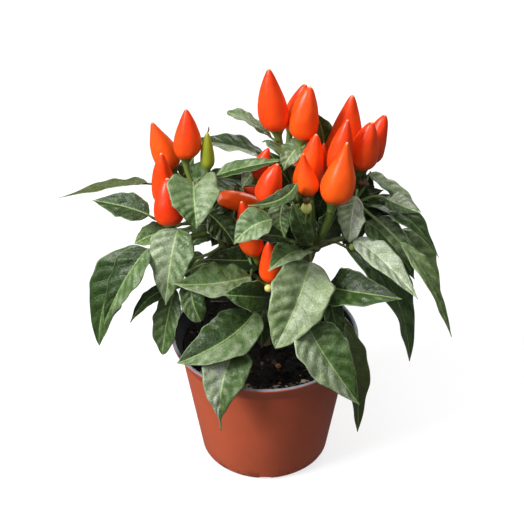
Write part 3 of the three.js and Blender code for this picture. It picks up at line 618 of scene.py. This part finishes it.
def fruit_material(name, orange, red, deep):
    """Waxy skin: ripeness, slow mottling, a deeper shoulder and a paler tip. skin holds the place along the
    fruit and its ripeness."""
    g = Graph(name)
    along, ripe, _ = g.values("skin")
    clouds = g.noise(70, 3, 0.5)
    fine = g.noise(850, 2, 0.5)
    level = ripe + (clouds - 0.5) * 0.9 + (along - 0.4) * 0.35
    colour = g.mix(g.remap(level, 0, 1), orange, red)
    colour = g.mix(g.remap(along, 0.09, 0, 0, 0.55), colour, deep)
    colour = g.mix(fine * 0.12, colour, deep)
    colour = g.mix(g.remap(along, 0.975, 0.995), colour, (0.85, 0.34, 0.2))
    normal = g.bump(g.noise(240, 3, 0.45), 0.22, 0.0006)
    normal = g.bump(fine, 0.1, 0.0002, normal)
    return g.finish(colour, clouds * 0.12 + 0.33, normal, Coat_Weight=0.1, Coat_Roughness=0.25, IOR=1.46,
                    Specular_IOR_Level=0.33, Subsurface_Weight=0.2, Subsurface_Scale=0.006)


def pot_material():
    """Mottled terracotta-coloured plastic, darker in patches round its foot."""
    g = Graph("terracotta_plastic")
    height = g.split(g.place)[2]
    clouds = g.noise(45, 4, 0.55)
    grain = g.noise(2200, 2, 0.5)
    flow = g.noise(120, 3, 0.5, (1, 1, 0.12))
    colour = g.mix(clouds, (0.48, 0.086, 0.033), (0.6, 0.116, 0.047))
    colour = g.mix(flow * 0.25, colour, (0.42, 0.085, 0.038))
    darkening = g.remap(height, 0.011, 0) * g.remap(g.noise(210, 5, 0.7), 0.45, 0.62)
    colour = g.mix(darkening * 0.8, colour, (0.035, 0.018, 0.012))
    specks = g.remap(g.noise(950, 2, 0.6), 0.7, 0.76)
    colour = g.mix(specks * 0.35, colour, (0.12, 0.05, 0.03))
    return g.finish(colour, grain * 0.12 + 0.42, g.bump(grain + clouds * 2, 0.12, 0.0003), IOR=1.46)


def pot_inside_material():
    """Grey lip with flecks of dust, and an inside painted near black from just below the lip as painted shade
    in the pot's hollow.
    """
    g = Graph("grey_inner_plastic")
    clouds = g.noise(60, 4, 0.55)
    dust = g.remap(g.noise(420, 5, 0.7), 0.52, 0.66)
    low = g.remap(g.split(g.place)[2], 0.0892, 0.0876)
    # Below the lip the inside is painted near black, as painted shade; above it only dust darkens the grey.
    darkening = g.math("MAXIMUM", dust * 0.3, low * g.remap(dust, 0, 1, 0.95, 1))
    colour = g.mix(clouds, (0.16, 0.175, 0.2), (0.28, 0.3, 0.335))
    return g.finish(g.mix(darkening, colour, (0.009, 0.007, 0.006)), low * 0.4 + 0.42,
                    g.bump(g.noise(1500, 2, 0.5), 0.15, 0.0003), Specular_IOR_Level=0.15)


def peat_material(name, dark, mid, light):
    """Dull grains with a few pale fibres, for soil, crumbs and twigs."""
    g = Graph(name)
    coarse = g.noise(330, 5, 0.7)
    fine = g.noise(1600, 4, 0.7)
    fibres = g.noise(520, 4, 0.7, (0.25, 1, 1))
    colour = g.mix(g.remap(coarse, 0.35, 0.7), dark, mid)
    colour = g.mix(g.remap(fibres, 0.63, 0.74), colour, light)
    colour = g.mix(fine * 0.5, colour, dark)
    return g.finish(colour, g.remap(fine, 0.2, 0.8, 0.8, 0.95), g.bump(coarse + fine * 0.6, 0.9, 0.0012),
                    Specular_IOR_Level=0.12)


def backdrop_material(name, colour, glow):
    """Plain pale studio paper with a little light of its own, so that the backdrop stays white."""
    g = Graph(name)
    return g.finish((*colour, 1), 0.9, Specular_IOR_Level=0, Emission_Color=(1, 1, 1, 1),
                    Emission_Strength=glow)


LEAF = leaf_material()
LEAF_STALK = stalk_material("leaf_stalk_green", (0.19, 0.27, 0.085), (0.08, 0.13, 0.035), 0.25)
FRUIT_STALK = stalk_material("fruit_stalk_green", (0.15, 0.22, 0.035), (0.055, 0.1, 0.014), 0.35)
BARK = bark_material()
FRUIT = fruit_material("ripe_pepper_skin", (0.84, 0.098, 0.005), (0.76, 0.034, 0.003), (0.66, 0.026, 0.003))
YOUNG_FRUIT = fruit_material("young_pepper_skin", (0.26, 0.295, 0.021), (0.31, 0.31, 0.027),
                             (0.13, 0.2, 0.02))
POT = pot_material()
POT_INSIDE = pot_inside_material()
PEAT = peat_material("peat", (0.003, 0.0025, 0.002), (0.012, 0.009, 0.007), (0.045, 0.03, 0.019))
CRUMB = peat_material("peat_crumbs", (0.03, 0.018, 0.01), (0.16, 0.095, 0.05), (0.36, 0.25, 0.15))
DRY_CRUMB = peat_material("dry_crumbs", (0.2, 0.15, 0.1), (0.42, 0.34, 0.25), (0.62, 0.54, 0.42))
TWIG = peat_material("dry_twigs", (0.05, 0.04, 0.026), (0.13, 0.105, 0.07), (0.22, 0.18, 0.12))
PELLET = peat_material("tan_pellets", (0.22, 0.11, 0.045), (0.42, 0.24, 0.11), (0.55, 0.38, 0.2))
PETAL = stalk_material("bud_petals", (0.76, 0.69, 0.22), (0.54, 0.52, 0.11), 0)
# The buds' green is raised above their own yellow-green as painted light, for buds that sit in shade.
YOUNG_BUD = stalk_material("young_bud_green", (0.7, 0.74, 0.22), (0.42, 0.5, 0.11), 0.05)
WITHERED = stalk_material("withered_petals", (0.17, 0.085, 0.035), (0.04, 0.02, 0.009), 0.6)


# ---- Leaves ----
BLADE_ROWS, BLADE_COLUMNS = 60, 22
BLADE_THICKNESS = 0.42
LEAF_FOLD = 0.5         # how steeply the two halves rise from the rib
LEAF_CURL = 0.42        # how far their edges bend back down
EDGE_WAVES = ((0.04, 3.3, 1.0), (0.018, 6.4, 1.7))          # share of the width, waves in the length, shift
EDGE_RIPPLES = ((1.0, 1.7, 1, 0.3), (0.5, 4.1, 2, 0.6))     # height, waves, shift, lead of the second half
STALK_STEPS, STALK_RADIUS = 13, 1.05
RIB_BELOW = 0.55        # how far the rib lies under the blade, as a share of its radius


def blade_share(along, rise, fall):
    """Width as a share of the widest."""
    widest = rise / (rise + fall)
    if along <= 0 or along >= 1:
        return 0.0
    return (along / widest) ** rise * ((1 - along) / (1 - widest)) ** fall


def add_leaf(shape, row, rng):
    """Adds a blade as a closed sheet, and its stalk, which runs on under the blade as its rib."""
    base, mid, tip = (Vector(row[key]) for key in ("base", "mid", "tip"))
    width, cordate = row["width"], row["cordate"]
    tint = row["yellow"] - row["olive"]
    wave, turn = rng.uniform(0.07, 0.13), rng.uniform(0, 1)
    pucker = width * row.get("pucker", rng.uniform(0.026, 0.040))
    spot = Vector((rng.uniform(0, 50), 0, 0))
    shares = [(index / BLADE_ROWS) ** 1.12 for index in range(BLADE_ROWS + 1)]
    spine = [through(base, mid, tip, t) for t in shares]
    tangents = [tangent for _, tangent in spine]
    frames = frames_along(tangents, Vector(row["face"]).normalized(), BLADE_ROWS // 2)
    length = sum((spine[i + 1][0] - spine[i][0]).length for i in range(BLADE_ROWS))

    def half_width(along, share):
        rise = row["rise"] - 0.35 * cordate
        reach = 1 - 0.07 * row["drip"]
        # The least half width shrinks only at the tip.
        least = min(0.7, 0.4 + 4.0 * (1 - along)) if along > 0.5 else 0.6
        half = max(width / 2 * blade_share(along / reach, rise, row["fall"]), least)
        edge = turn if share > 0 else turn + 0.5
        for depth, waves, shift in EDGE_WAVES:
            half *= 1 + depth * math.sin(2 * math.pi * (waves * along + shift * edge))
        return half

    def place(index, share):
        """A point of the sheet and the half width there. share runs from -1 to 1 across the blade."""
        along, side, second = shares[index], abs(share), share > 0
        (at, tangent), (over, across) = spine[index], frames[index]
        half = half_width(along, share)
        inside = 1 - side ** 4
        # The fold, rounded over the rib.
        ridge = math.sqrt(side * side + 0.004) - 0.063
        lift = half * LEAF_FOLD * (ridge - LEAF_CURL * side * side)
        # Swellings between the side veins.
        phase = VEINS * (along - VEIN_RUN * side ** VEIN_BOW) + VEIN_LEAD * second
        swell = (0.5 - 0.5 * math.cos(2 * math.pi * phase)) ** 0.7
        swell *= 0.6 + 1.3 * noise.noise(Vector((along * 6, share * 2.2, 3)) + spot)
        lift += pucker * swell * min(1, side * 5) * inside * min(1, 5 * along) * min(1, 4 * (1 - along))
        # Ripples that grow towards the edge, and slow and fine unevenness.
        ripple = sum(height * math.sin(2 * math.pi * (waves * along + shift * turn + lead * second))
                     for height, waves, shift, lead in EDGE_RIPPLES)
        lift += half * wave * ripple * side * side
        lift += half * 0.14 * noise.noise(Vector((along * 3, share * 1.5, 0)) + spot) * side
        quilt = noise.noise(Vector((along * length / 4.5, share * half / 3.5, 7)) + spot)
        lift += quilt * min(0.8, width / 30) * min(1, side * 3) * inside * min(1, 6 * (1 - along))
        back = cordate * half * 1.05 * side ** 1.6 * max(0, 1 - along * 2.2) ** 2
        return at + across * (share * half) + over * lift - tangent * back, half

    columns = [2 * column / BLADE_COLUMNS - 1 for column in range(BLADE_COLUMNS + 1)]
    columns = [math.copysign(abs(c) ** 0.92, c) for c in columns]
    grid = [[place(index, share) for share in columns] for index in range(BLADE_ROWS + 1)]
    rings, blade, look = [], [], []
    tone = row["tone"]
    for index in range(BLADE_ROWS + 1):
        # Each item: point, and its values for "blade" and "look".
        top, bottom = [], []
        low, high = max(index - 1, 0), min(index + 1, BLADE_ROWS)
        for column, share in enumerate(columns):
            at, half = grid[index][column]
            along_way = grid[high][column][0] - grid[low][column][0]
            left, right = max(column - 1, 0), min(column + 1, BLADE_COLUMNS)
            across_way = grid[index][right][0] - grid[index][left][0]
            normal = along_way.cross(across_way)
            normal = -normal.normalized() if normal.length > 1e-9 else frames[index][0]
            if normal.dot(frames[index][0]) < 0:
                normal = -normal
            thick = BLADE_THICKNESS / 2 * math.sqrt(max(0, 1 - share ** 6)) * min(1, 0.35 + half / 4)
            values = (shares[index], share, abs(share) * half)
            # lit is the tone with painted light on one half of the blade and painted shade on the other, by
            # half.
            lit = tone + row["half"] * max(-1, min(1, share * 14))
            top.append((at + normal * thick, values, (0.0, lit, tint)))
            if 0 < column < BLADE_COLUMNS:
                bottom.append((at - normal * thick, values, (1.0, tone, tint)))
        ring = bottom + top[::-1]
        rings.append([point for point, _, _ in ring])
        blade += [values for _, values, _ in ring]
        look += [looks for _, _, looks in ring]
    shape.loft(rings)
    # The middles of the two end fans take the values of the first and last point.
    shape.value("blade", [*blade, blade[0], blade[-1]])
    shape.value("look", [*look, look[0], look[-1]])
    stalk = stalk_points(row["stem"], base, tangents[0], row["bend"], STALK_STEPS + 1)
    path = stalk[:-1]
    radii = [STALK_RADIUS - 0.25 * i / STALK_STEPS for i in range(STALK_STEPS)]
    reach = len(shares) - 4
    size = min(0.8, 0.25 + width / 45)
    for index in range(0, reach, 3):
        radius = size * (1 - 0.8 * index / reach)
        path.append(spine[index][0] - frames[index][0] * (radius * RIB_BELOW))
        radii.append(radius)
    shape.tube(path, radii, 10, 1)


def build_leaves():
    rng = random.Random(7)
    groups = {"leaf_left": LEFT_LEAVES, "leaf_top": TOP_LEAVES, "leaf_front": FRONT_LEAVES,
              "leaf_right": RIGHT_LEAVES, "leaf_back": BACK_LEAVES, "small_leaf": SMALL_LEAVES}
    for group, rows in groups.items():
        for number, row in enumerate(rows, 1):
            name = f"{group}_{number}"
            shape = Shape()
            add_leaf(shape, row, rng)
            if group == "small_leaf":
                shape.build(name, [LEAF, LEAF_STALK], "leaf_green")
            else:
                shape.build(name + "_blade", [LEAF, LEAF_STALK], "leaf_green", name)


# ---- Fruits ----
FRUIT_SIDES, CAP_SIDES, STALK_RINGS = 36, 30, 16
# Share of a fruit's length where it is widest, and its radii at the shoulder and at the blunt tip as shares
# of the widest.
FRUIT_WIDEST, FRUIT_SHOULDER, FRUIT_TIP = 0.22, 0.47, 0.17
# Where its rings lie as shares of its length: close together at the shoulder and at the tip.
FRUIT_RINGS = [0.0, 0.01, 0.02, 0.035, 0.055, 0.08, 0.11, 0.15]
FRUIT_RINGS += [0.15 + 0.77 * k / 22 for k in range(1, 23)]
FRUIT_RINGS += [0.938, 0.955, 0.968, 0.978, 0.986, 0.992, 0.9965, 0.999]
# The cap's rings: share of the fruit's length, share of its radius, and depth of the five teeth.
CAP_RINGS = ((-0.21, 0.21, 0), (-0.15, 0.24, 0), (-0.09, 0.31, 0), (-0.04, 0.42, 0.02), (0.006, 0.57, 0.05),
             (0.024, 0.63, 0.10), (0.030, 0.60, 0.11), (0.02, 0.50, 0.05), (0.01, 0.30, 0))


def outline_radius(t, taper):
    """Radius as a share of the widest: a round shoulder, then a taper to a small blunt tip."""
    if t < FRUIT_WIDEST:
        return math.sqrt(1 - (1 - FRUIT_SHOULDER ** 2) * (1 - t / FRUIT_WIDEST) ** 2)
    x = (t - FRUIT_WIDEST) / (1 - FRUIT_WIDEST)
    return (1 - FRUIT_TIP) * (1 - x * x) ** taper + FRUIT_TIP * math.sqrt(1 - x ** 14)


def add_fruit(name, stem, base, tip, diameter, ripe, bow, taper, rng):
    base, tip = Vector(base), Vector(tip)
    axis, length = (tip - base).normalized(), (tip - base).length
    over, across = frames_along([axis])[0]
    lean = (across if bow >= 0 else -across) * abs(bow)
    lobes, phase, spot = rng.choice((2, 3, 3, 4)), rng.uniform(0, 6.28), Vector((rng.uniform(0, 90), 0, 0))

    def skin_point(t, angle, way):
        swell = 1 + 0.03 * math.cos(lobes * angle + phase) * (1 - t)
        swell += 0.05 * noise.noise(way * 1.1 + Vector((0, 0, t * 3.2)) + spot)
        swell += 0.02 * noise.noise(way * 2.6 + Vector((0, 0, t * 8)) + spot)
        middle = base + axis * (t * length) + lean * math.sin(math.pi * t)
        return middle + way * (diameter / 2 * outline_radius(t, taper) * swell)

    def cap_point(t, share, teeth, angle, way):
        tooth = teeth * max(0, math.cos(5 * angle + phase)) ** 2
        return base + axis * ((t + tooth * 0.35) * length) + way * (diameter / 2 * (share + tooth))

    shape = Shape()
    spokes = directions(over, across, FRUIT_SIDES)
    shape.loft([[skin_point(t, *spoke) for spoke in spokes] for t in FRUIT_RINGS])
    shape.value("skin", [(t, ripe, 0.0) for t in FRUIT_RINGS for _ in range(FRUIT_SIDES)]
                + [(0.0, ripe, 0.0), (1.0, ripe, 0.0)])
    shape.build(name + "_skin", [YOUNG_FRUIT if name == UNRIPE else FRUIT], "fruit_skin", name)
    # The stalk widens into its cap.
    stalk = Shape()
    path = stalk_points(stem, base - axis * (0.05 * length), axis, None, STALK_RINGS)[:-1]
    thick = min(1.85, diameter / 10.5)
    stalk.tube(path, [(1.0 + 0.6 * (i / len(path)) ** 3) * thick for i in range(len(path))], 12)
    spokes = directions(over, across, CAP_SIDES)
    stalk.loft([[cap_point(*ring, *spoke) for spoke in spokes] for ring in CAP_RINGS])
    stalk.build(name + "_stalk", [FRUIT_STALK], "stem_bark", name)


def build_fruits():
    rng = random.Random(21)
    for row in FRUITS:
        add_fruit(*row, rng)


# ---- Stem ----
STEM_VOXEL = 0.55
TRUNK_FLARE, FLARE_HEIGHT = 0.35, 22


def build_stem():
    shape = Shape()
    for name, start, end, points in BRANCHES:
        path = smooth_path(points, 10)
        radii = [radius * (1 + 0.09 * noise.noise(at * 0.16))
                 for radius, at in zip(tapered(start, end, len(path)), path)]
        if name == "trunk":
            radii = [radius * (1 + TRUNK_FLARE * max(0, 1 - (at[2] - TRUNK_FOOT) / FLARE_HEIGHT))
                     for radius, at in zip(radii, path)]
        shape.tube(path, radii, 16)
    for start, end, points in TWIGLETS:
        path = smooth_path(points, 8)
        shape.tube(path, tapered(start, end, len(path)), 12)
    for index, (at, radius) in enumerate(JOINTS):
        shape.lump(at, radius, (1, 1, 0.85), index * 3.7, sides=14, rows=10)
    stem = shape.build("stem_bark", [BARK], "stem_bark", "stem")
    # One skin over all the branches.
    remesh = stem.modifiers.new("fuse", "REMESH")
    remesh.mode, remesh.voxel_size = "VOXEL", STEM_VOXEL * MM
    remesh.use_smooth_shade = True
    smooth = stem.modifiers.new("smooth", "SMOOTH")
    smooth.factor, smooth.iterations = 0.5, 4
    apply_modifiers(stem)


# ---- Pot ----
POT_AROUND = 144
LIP_WIDTH = 2.3
DRAIN_WIDTH, DRAIN_DEPTH = 4.4, 3.0     # half the width of a drain slot, and its height
SHARP_ANGLE = math.radians(50)


def wall_radius(height):
    return POT_BASE_RADIUS + (BODY_TOP_RADIUS - POT_BASE_RADIUS) * height / COLLAR_FOOT


def rounded(points, size, steps=3):
    """The profile with each inner corner rounded by a small arc."""
    points = [Vector(point) for point in points]
    made = [points[0]]
    for before, corner, after in zip(points, points[1:], points[2:]):
        into, out = (before - corner), (after - corner)
        cut = min(size, into.length * 0.45, out.length * 0.45)
        start, end = corner + into.normalized() * cut, corner + out.normalized() * cut
        made += [bezier(start, corner, end, step / steps) for step in range(steps + 1)]
    return made + [points[-1]]


def squared(value):
    """A sine or cosine with fuller corners."""
    return math.copysign(abs(value) ** 0.6, value)


def build_pot():
    lip_inside = POT_RIM_RADIUS - LIP_WIDTH
    outer = [
        (0, 1.2), (30, 1.2), (33.5, 0), (39.0, 0), (wall_radius(2.5), 2.5),
        (wall_radius(40), 40), (wall_radius(COLLAR_FOOT - 1), COLLAR_FOOT - 1),
        (COLLAR_FOOT_RADIUS, COLLAR_FOOT + 1), (POT_RIM_RADIUS, POT_HEIGHT - 1.2),
        (POT_RIM_RADIUS - 0.15, POT_HEIGHT), (lip_inside, POT_HEIGHT),
    ]
    inside = [
        (lip_inside, POT_HEIGHT - 1.4), (POT_RIM_RADIUS - POT_WALL - 0.4, POT_HEIGHT - 2.4),
        (COLLAR_FOOT_RADIUS - POT_WALL, COLLAR_FOOT + 2.4),
        (wall_radius(COLLAR_FOOT) - POT_WALL, COLLAR_FOOT + 0.6),
        (wall_radius(5) - POT_WALL, 5.0), (36.5, POT_FLOOR), (0, POT_FLOOR),
    ]
    profile = rounded(outer + inside, 0.9)
    # The grey inside starts on the outer edge of the lip.
    rim = max(range(len(profile)), key=lambda i: (profile[i][1], -profile[i][0]))
    while profile[rim][0] < POT_RIM_RADIUS - 0.35:
        rim -= 1
    shape = Shape()
    shape.loft([level_ring(radius, height, POT_AROUND) for radius, height in profile[1:-1]],
               [0 if span < rim else 1 for span in range(len(profile) - 1)],
               [Vector((0, 0, end[1])) for end in (profile[0], profile[-1])])
    pot = shape.build("nursery_pot", [POT, POT_INSIDE], "pot_plastic", "pot")
    slots = Shape()
    for angle in angles(DRAIN_SLOTS):
        angle -= math.pi / 2
        out = Vector((math.cos(angle), math.sin(angle), 0))
        side = Vector((-math.sin(angle), math.cos(angle), 0))
        slots.loft([[out * radius + side * (DRAIN_WIDTH * squared(math.cos(turn)))
                     + Vector((0, 0, DRAIN_DEPTH * squared(math.sin(turn)))) for turn in angles(16)]
                    for radius in (35, 38, 41, 47)])
    cutter = slots.build("drain_cutter", [POT], "pot_plastic")
    cut = pot.modifiers.new("drain", "BOOLEAN")
    cut.operation, cut.solver, cut.object = "DIFFERENCE", "EXACT", cutter
    apply_modifiers(pot)
    bpy.data.objects.remove(cutter)
    pot.data.polygons.foreach_set("use_smooth", [True] * len(pot.data.polygons))
    pot.data.set_sharp_from_angle(angle=SHARP_ANGLE)


# ---- Soil ----
SOIL_RADIUS, SOIL_ROWS, SOIL_AROUND = 52.3, 66, 200
SOIL_GAP = 2.0          # from the pot's outer face
CRUMBS, CRUMB_REACH = 620, 51.0
RIM_CRUMBS, RIM_REACH = 420, (45.0, 54.0)      # heaped against the front and the right of the wall
PELLET_PLACES = ((8.2, -25, 2.0), (9, -40, 1.0), (22, -34, 0.8), (-26, 30, 1.6), (30, 24, 1.4), (0, 40, 1.2))
TWIG_PLACES = (([(-36, 41, 84.5), (-30, 42, 83.6), (-24, 43, 83.0)], 0.7),
               ([(-1, -2, 82.4), (4, 1, 82.6), (11, 0, 82.2)], 0.6),
               ([(24, -30, 81.9), (31, -27, 82.3), (36, -29, 82.0)], 0.45),
               ([(-20, -30, 82.0), (-12, -33, 82.4), (-7, -31, 82.0)], 0.45))


def soil_height(x, y):
    """Uneven peat that rises a little towards the pot's wall and heaps up round the trunk."""
    spot = Vector((x, y, 0))
    height = SOIL_TOP - 0.6 + 1.5 * noise.noise(spot * 0.055) + 0.9 * noise.noise(spot * 0.19)
    height += 0.55 * noise.noise(spot * 0.5 + Vector((9, 4, 0))) + 0.35 * noise.noise(spot * 1.1)
    height += 0.9 * (math.hypot(x, y) / 52.0) ** 6
    return height + 1.4 * math.exp(-(math.hypot(x - TRUNK_X, y) / 9) ** 2)


def on_soil(angle, radius):
    x, y = radius * math.cos(angle), radius * math.sin(angle)
    return x, y, soil_height(x, y)


def build_soil():
    buried = ((37.5, 3.4), (wall_radius(5) - SOIL_GAP, 5.6), (wall_radius(40) - SOIL_GAP, 40.0))
    rings = [level_ring(radius, height, SOIL_AROUND) for radius, height in buried]
    for row in range(SOIL_ROWS):
        radius = SOIL_RADIUS * (1 - row / SOIL_ROWS) ** 0.8
        rings.append([Vector(on_soil(angle, radius)) for angle in angles(SOIL_AROUND)])
    shape = Shape()
    shape.loft(rings)
    shape.build("potting_peat", [PEAT], "soil_peat", "soil")
    rng = random.Random(5)
    crumbs = Shape()
    for index in range(CRUMBS):
        angle, radius = rng.uniform(0, 2 * math.pi), CRUMB_REACH * math.sqrt(rng.uniform(0.01, 1))
        x, y, height = on_soil(angle, radius)
        if math.hypot(x - TRUNK_X, y) < 5:
            continue
        size = rng.uniform(0.45, 1.25) * (1.6 if rng.random() < 0.12 else 1)
        squash = (rng.uniform(0.6, 1.4), rng.uniform(0.6, 1.4), rng.uniform(0.45, 0.9))
        slot = 1 if rng.random() < 0.16 else 0
        crumbs.lump((x, y, height + size * 0.2), size, squash, index * 1.7, slot)
    for index in range(RIM_CRUMBS):
        angle, radius = rng.uniform(-2.5, -0.65), rng.uniform(*RIM_REACH)
        x, y, height = on_soil(angle, radius)
        size = rng.uniform(0.5, 1.9)
        heap = 3.2 * max(0, (radius - 46) / 8) * rng.uniform(0.3, 1.0)
        squash = (rng.uniform(0.6, 1.5), rng.uniform(0.6, 1.4), rng.uniform(0.45, 0.9))
        slot = rng.choice((0, 0, 0, 1, 1, 3))
        crumbs.lump((x, y, height + size * 0.2 + heap), size, squash, index * 2.3, slot)
    for x, y, size in PELLET_PLACES:
        crumbs.lump((x, y, soil_height(x, y) + size * 0.45), size, (1, 0.9, 0.8), x + y, 2)
    crumbs.build("peat_crumbs", [PEAT, CRUMB, PELLET, DRY_CRUMB], "soil_peat")
    twigs = Shape()
    for points, radius in TWIG_PLACES:
        path = smooth_path(points, 6)
        twigs.tube(path, [radius * (1 - 0.5 * i / len(path)) for i in range(len(path))], 8)
    twigs.build("soil_twigs", [TWIG], "soil_peat")


# ---- Buds and withered flowers ----
BUD_MATERIALS = [FRUIT_STALK, PETAL, YOUNG_BUD, WITHERED]
# Buds: where the stalk leaves, middle, radius, way it points, and number of its material.
BUDS = [
    ((27, 0, 172), (24.1, -30, 203.2), 3.3, (0, -0.2, 1), 2),
    ((19, -5, 133), (2, -46, 157), 2.4, (-0.5, -0.6, 0.5), 1),
    ((7, -13, 171), (5, -15, 172.5), 1.5, (-0.6, -0.3, 0.6), 2),
    ((52, -3, 167), (53.1, -8, 161), 1.9, (0.2, -0.6, -0.6), 2),
]
BUD_STALK_RINGS = 10
# A bud's rings: place on its axis and radius, as shares of the bud's radius.
BUD_RINGS = ((-1.1, 0.3), (-0.95, 0.62), (-0.55, 0.86), (0, 1.0), (0.5, 0.9), (0.95, 0.55), (1.2, 0.15))
# Withered petals: start, end, radius. Two on the first bud, four by a branch, a thread on the young fruit.
PETALS = [
    ((23.7, -30.5, 206.3), (24.8, -32, 211.4), 1.7), ((23.5, -30.5, 206.3), (22.2, -32.5, 211), 1.4),
    ((57, 6, 194), (58.5, 3, 199.5), 0.8), ((58.5, 3, 199.5), (60.3, 0.6, 203.5), 2.3),
    ((58.5, 3, 199.5), (56.6, 0.2, 202.8), 1.9), ((59, 2, 200), (62.6, 0.2, 201), 1.5),
    ((-34, -2, 237), (-33, -1.8, 242), 0.5),
]
PETAL_RADII = (0.35, 0.6, 0.8, 0.9, 1, 1, 0.8, 0.55, 0.3)


def build_buds():
    shape = Shape()
    for stem, at, size, way, slot in BUDS:
        at, way = Vector(at), Vector(way).normalized()
        path = stalk_points(stem, at - way * size, way, None, BUD_STALK_RINGS)
        shape.tube(path, [0.55 + 0.3 * (i / (BUD_STALK_RINGS - 1)) ** 3 for i in range(BUD_STALK_RINGS)], 8)
        frame_here = frames_along([way])[0]
        shape.loft([[at + way * (t * size) + out * (size * share * (1 + 0.06 * math.cos(5 * angle)))
                     for angle, out in directions(*frame_here, 15)] for t, share in BUD_RINGS], slot)
    for start, end, size in PETALS:
        path = smooth_path([start, (Vector(start) + Vector(end)) / 2 + Vector((0.3, -0.2, 0.1)), end], 4)
        shape.tube(path, [size * share for share in PETAL_RADII], 9, 3)
    shape.build("buds_and_withered_flowers", BUD_MATERIALS, "stem_bark")


# ---- Studio, in metres ----
FLOOR_HALF, DOME_RADIUS = 4, 3.8
WORLD_LIGHT = 0.16
# Lamps: name, place, aim, width, power in watts.
LAMPS = [
    ("key_light", (-1.0, -0.55, 1.05), (0, 0, 0.14), 0.6, 32),
    ("top_light", (0.12, 0.2, 1.65), (0, 0, 0.15), 1.3, 11),
    ("front_light", (0.15, -1.0, 1.35), (0, 0, 0.13), 1.0, 7),
    ("back_light", (0.5, 1.2, 0.7), (0, 0, 0.14), 0.8, 10),
]
# The camera's lens and sensor in mm, its place, and how many degrees below the level it looks.
LENS, SENSOR, CAMERA_PLACE, LOOKS_DOWN = 107.0, 36.0, (-0.0019, -0.7986, 0.6918), 34.43


def build_backdrop():
    far = FLOOR_HALF
    corners = [(-far, -far, 0), (far, -far, 0), (far, far, 0), (-far, far, 0)]
    floor_mesh = bpy.data.meshes.new("studio_floor")
    floor_mesh.from_pydata(corners, [], [(0, 1, 2, 3)])
    floor = bpy.data.objects.new("studio_floor", floor_mesh)
    floor_mesh.materials.append(backdrop_material("studio_floor", (0.30, 0.30, 0.30), 0.72))
    SCENE.collection.objects.link(floor)
    dome = Shape()
    dome.lump((0, 0, 0), DOME_RADIUS / MM, (1, 1, 1), 0, sides=48, rows=24, rough=0)
    backdrop = dome.build("studio_backdrop", [backdrop_material("studio_backdrop", (0, 0, 0), 0.97)], None)
    for screen in (floor, backdrop):
        screen.visible_diffuse = screen.visible_glossy = screen.visible_transmission = False
    backdrop.visible_shadow = False


def build_lights():
    world = bpy.data.worlds.new("studio")
    world.use_nodes = True
    background = world.node_tree.nodes["Background"]
    background.inputs[0].default_value = (1.0, 1.0, 1.0, 1)
    background.inputs[1].default_value = WORLD_LIGHT
    SCENE.world = world
    for name, at, aim, size, energy in LAMPS:
        data = bpy.data.lights.new(name, "AREA")
        data.shape, data.size, data.energy = "DISK", size, energy
        lamp = bpy.data.objects.new(name, data)
        lamp.location = at
        lamp.rotation_euler = (Vector(aim) - Vector(at)).to_track_quat("-Z", "Y").to_euler()
        SCENE.collection.objects.link(lamp)


def build_camera():
    data = bpy.data.cameras.new("camera")
    data.lens, data.sensor_width = LENS, SENSOR
    data.clip_start, data.clip_end = 0.05, 20
    camera = bpy.data.objects.new("camera", data)
    camera.location = CAMERA_PLACE
    camera.rotation_euler = (math.radians(90 - LOOKS_DOWN), 0, 0)
    SCENE.collection.objects.link(camera)
    SCENE.camera = camera
    SCENE.view_settings.view_transform = "Standard"


build_pot()
build_soil()
build_stem()
build_leaves()
build_fruits()
build_buds()
build_backdrop()
build_lights()
build_camera()
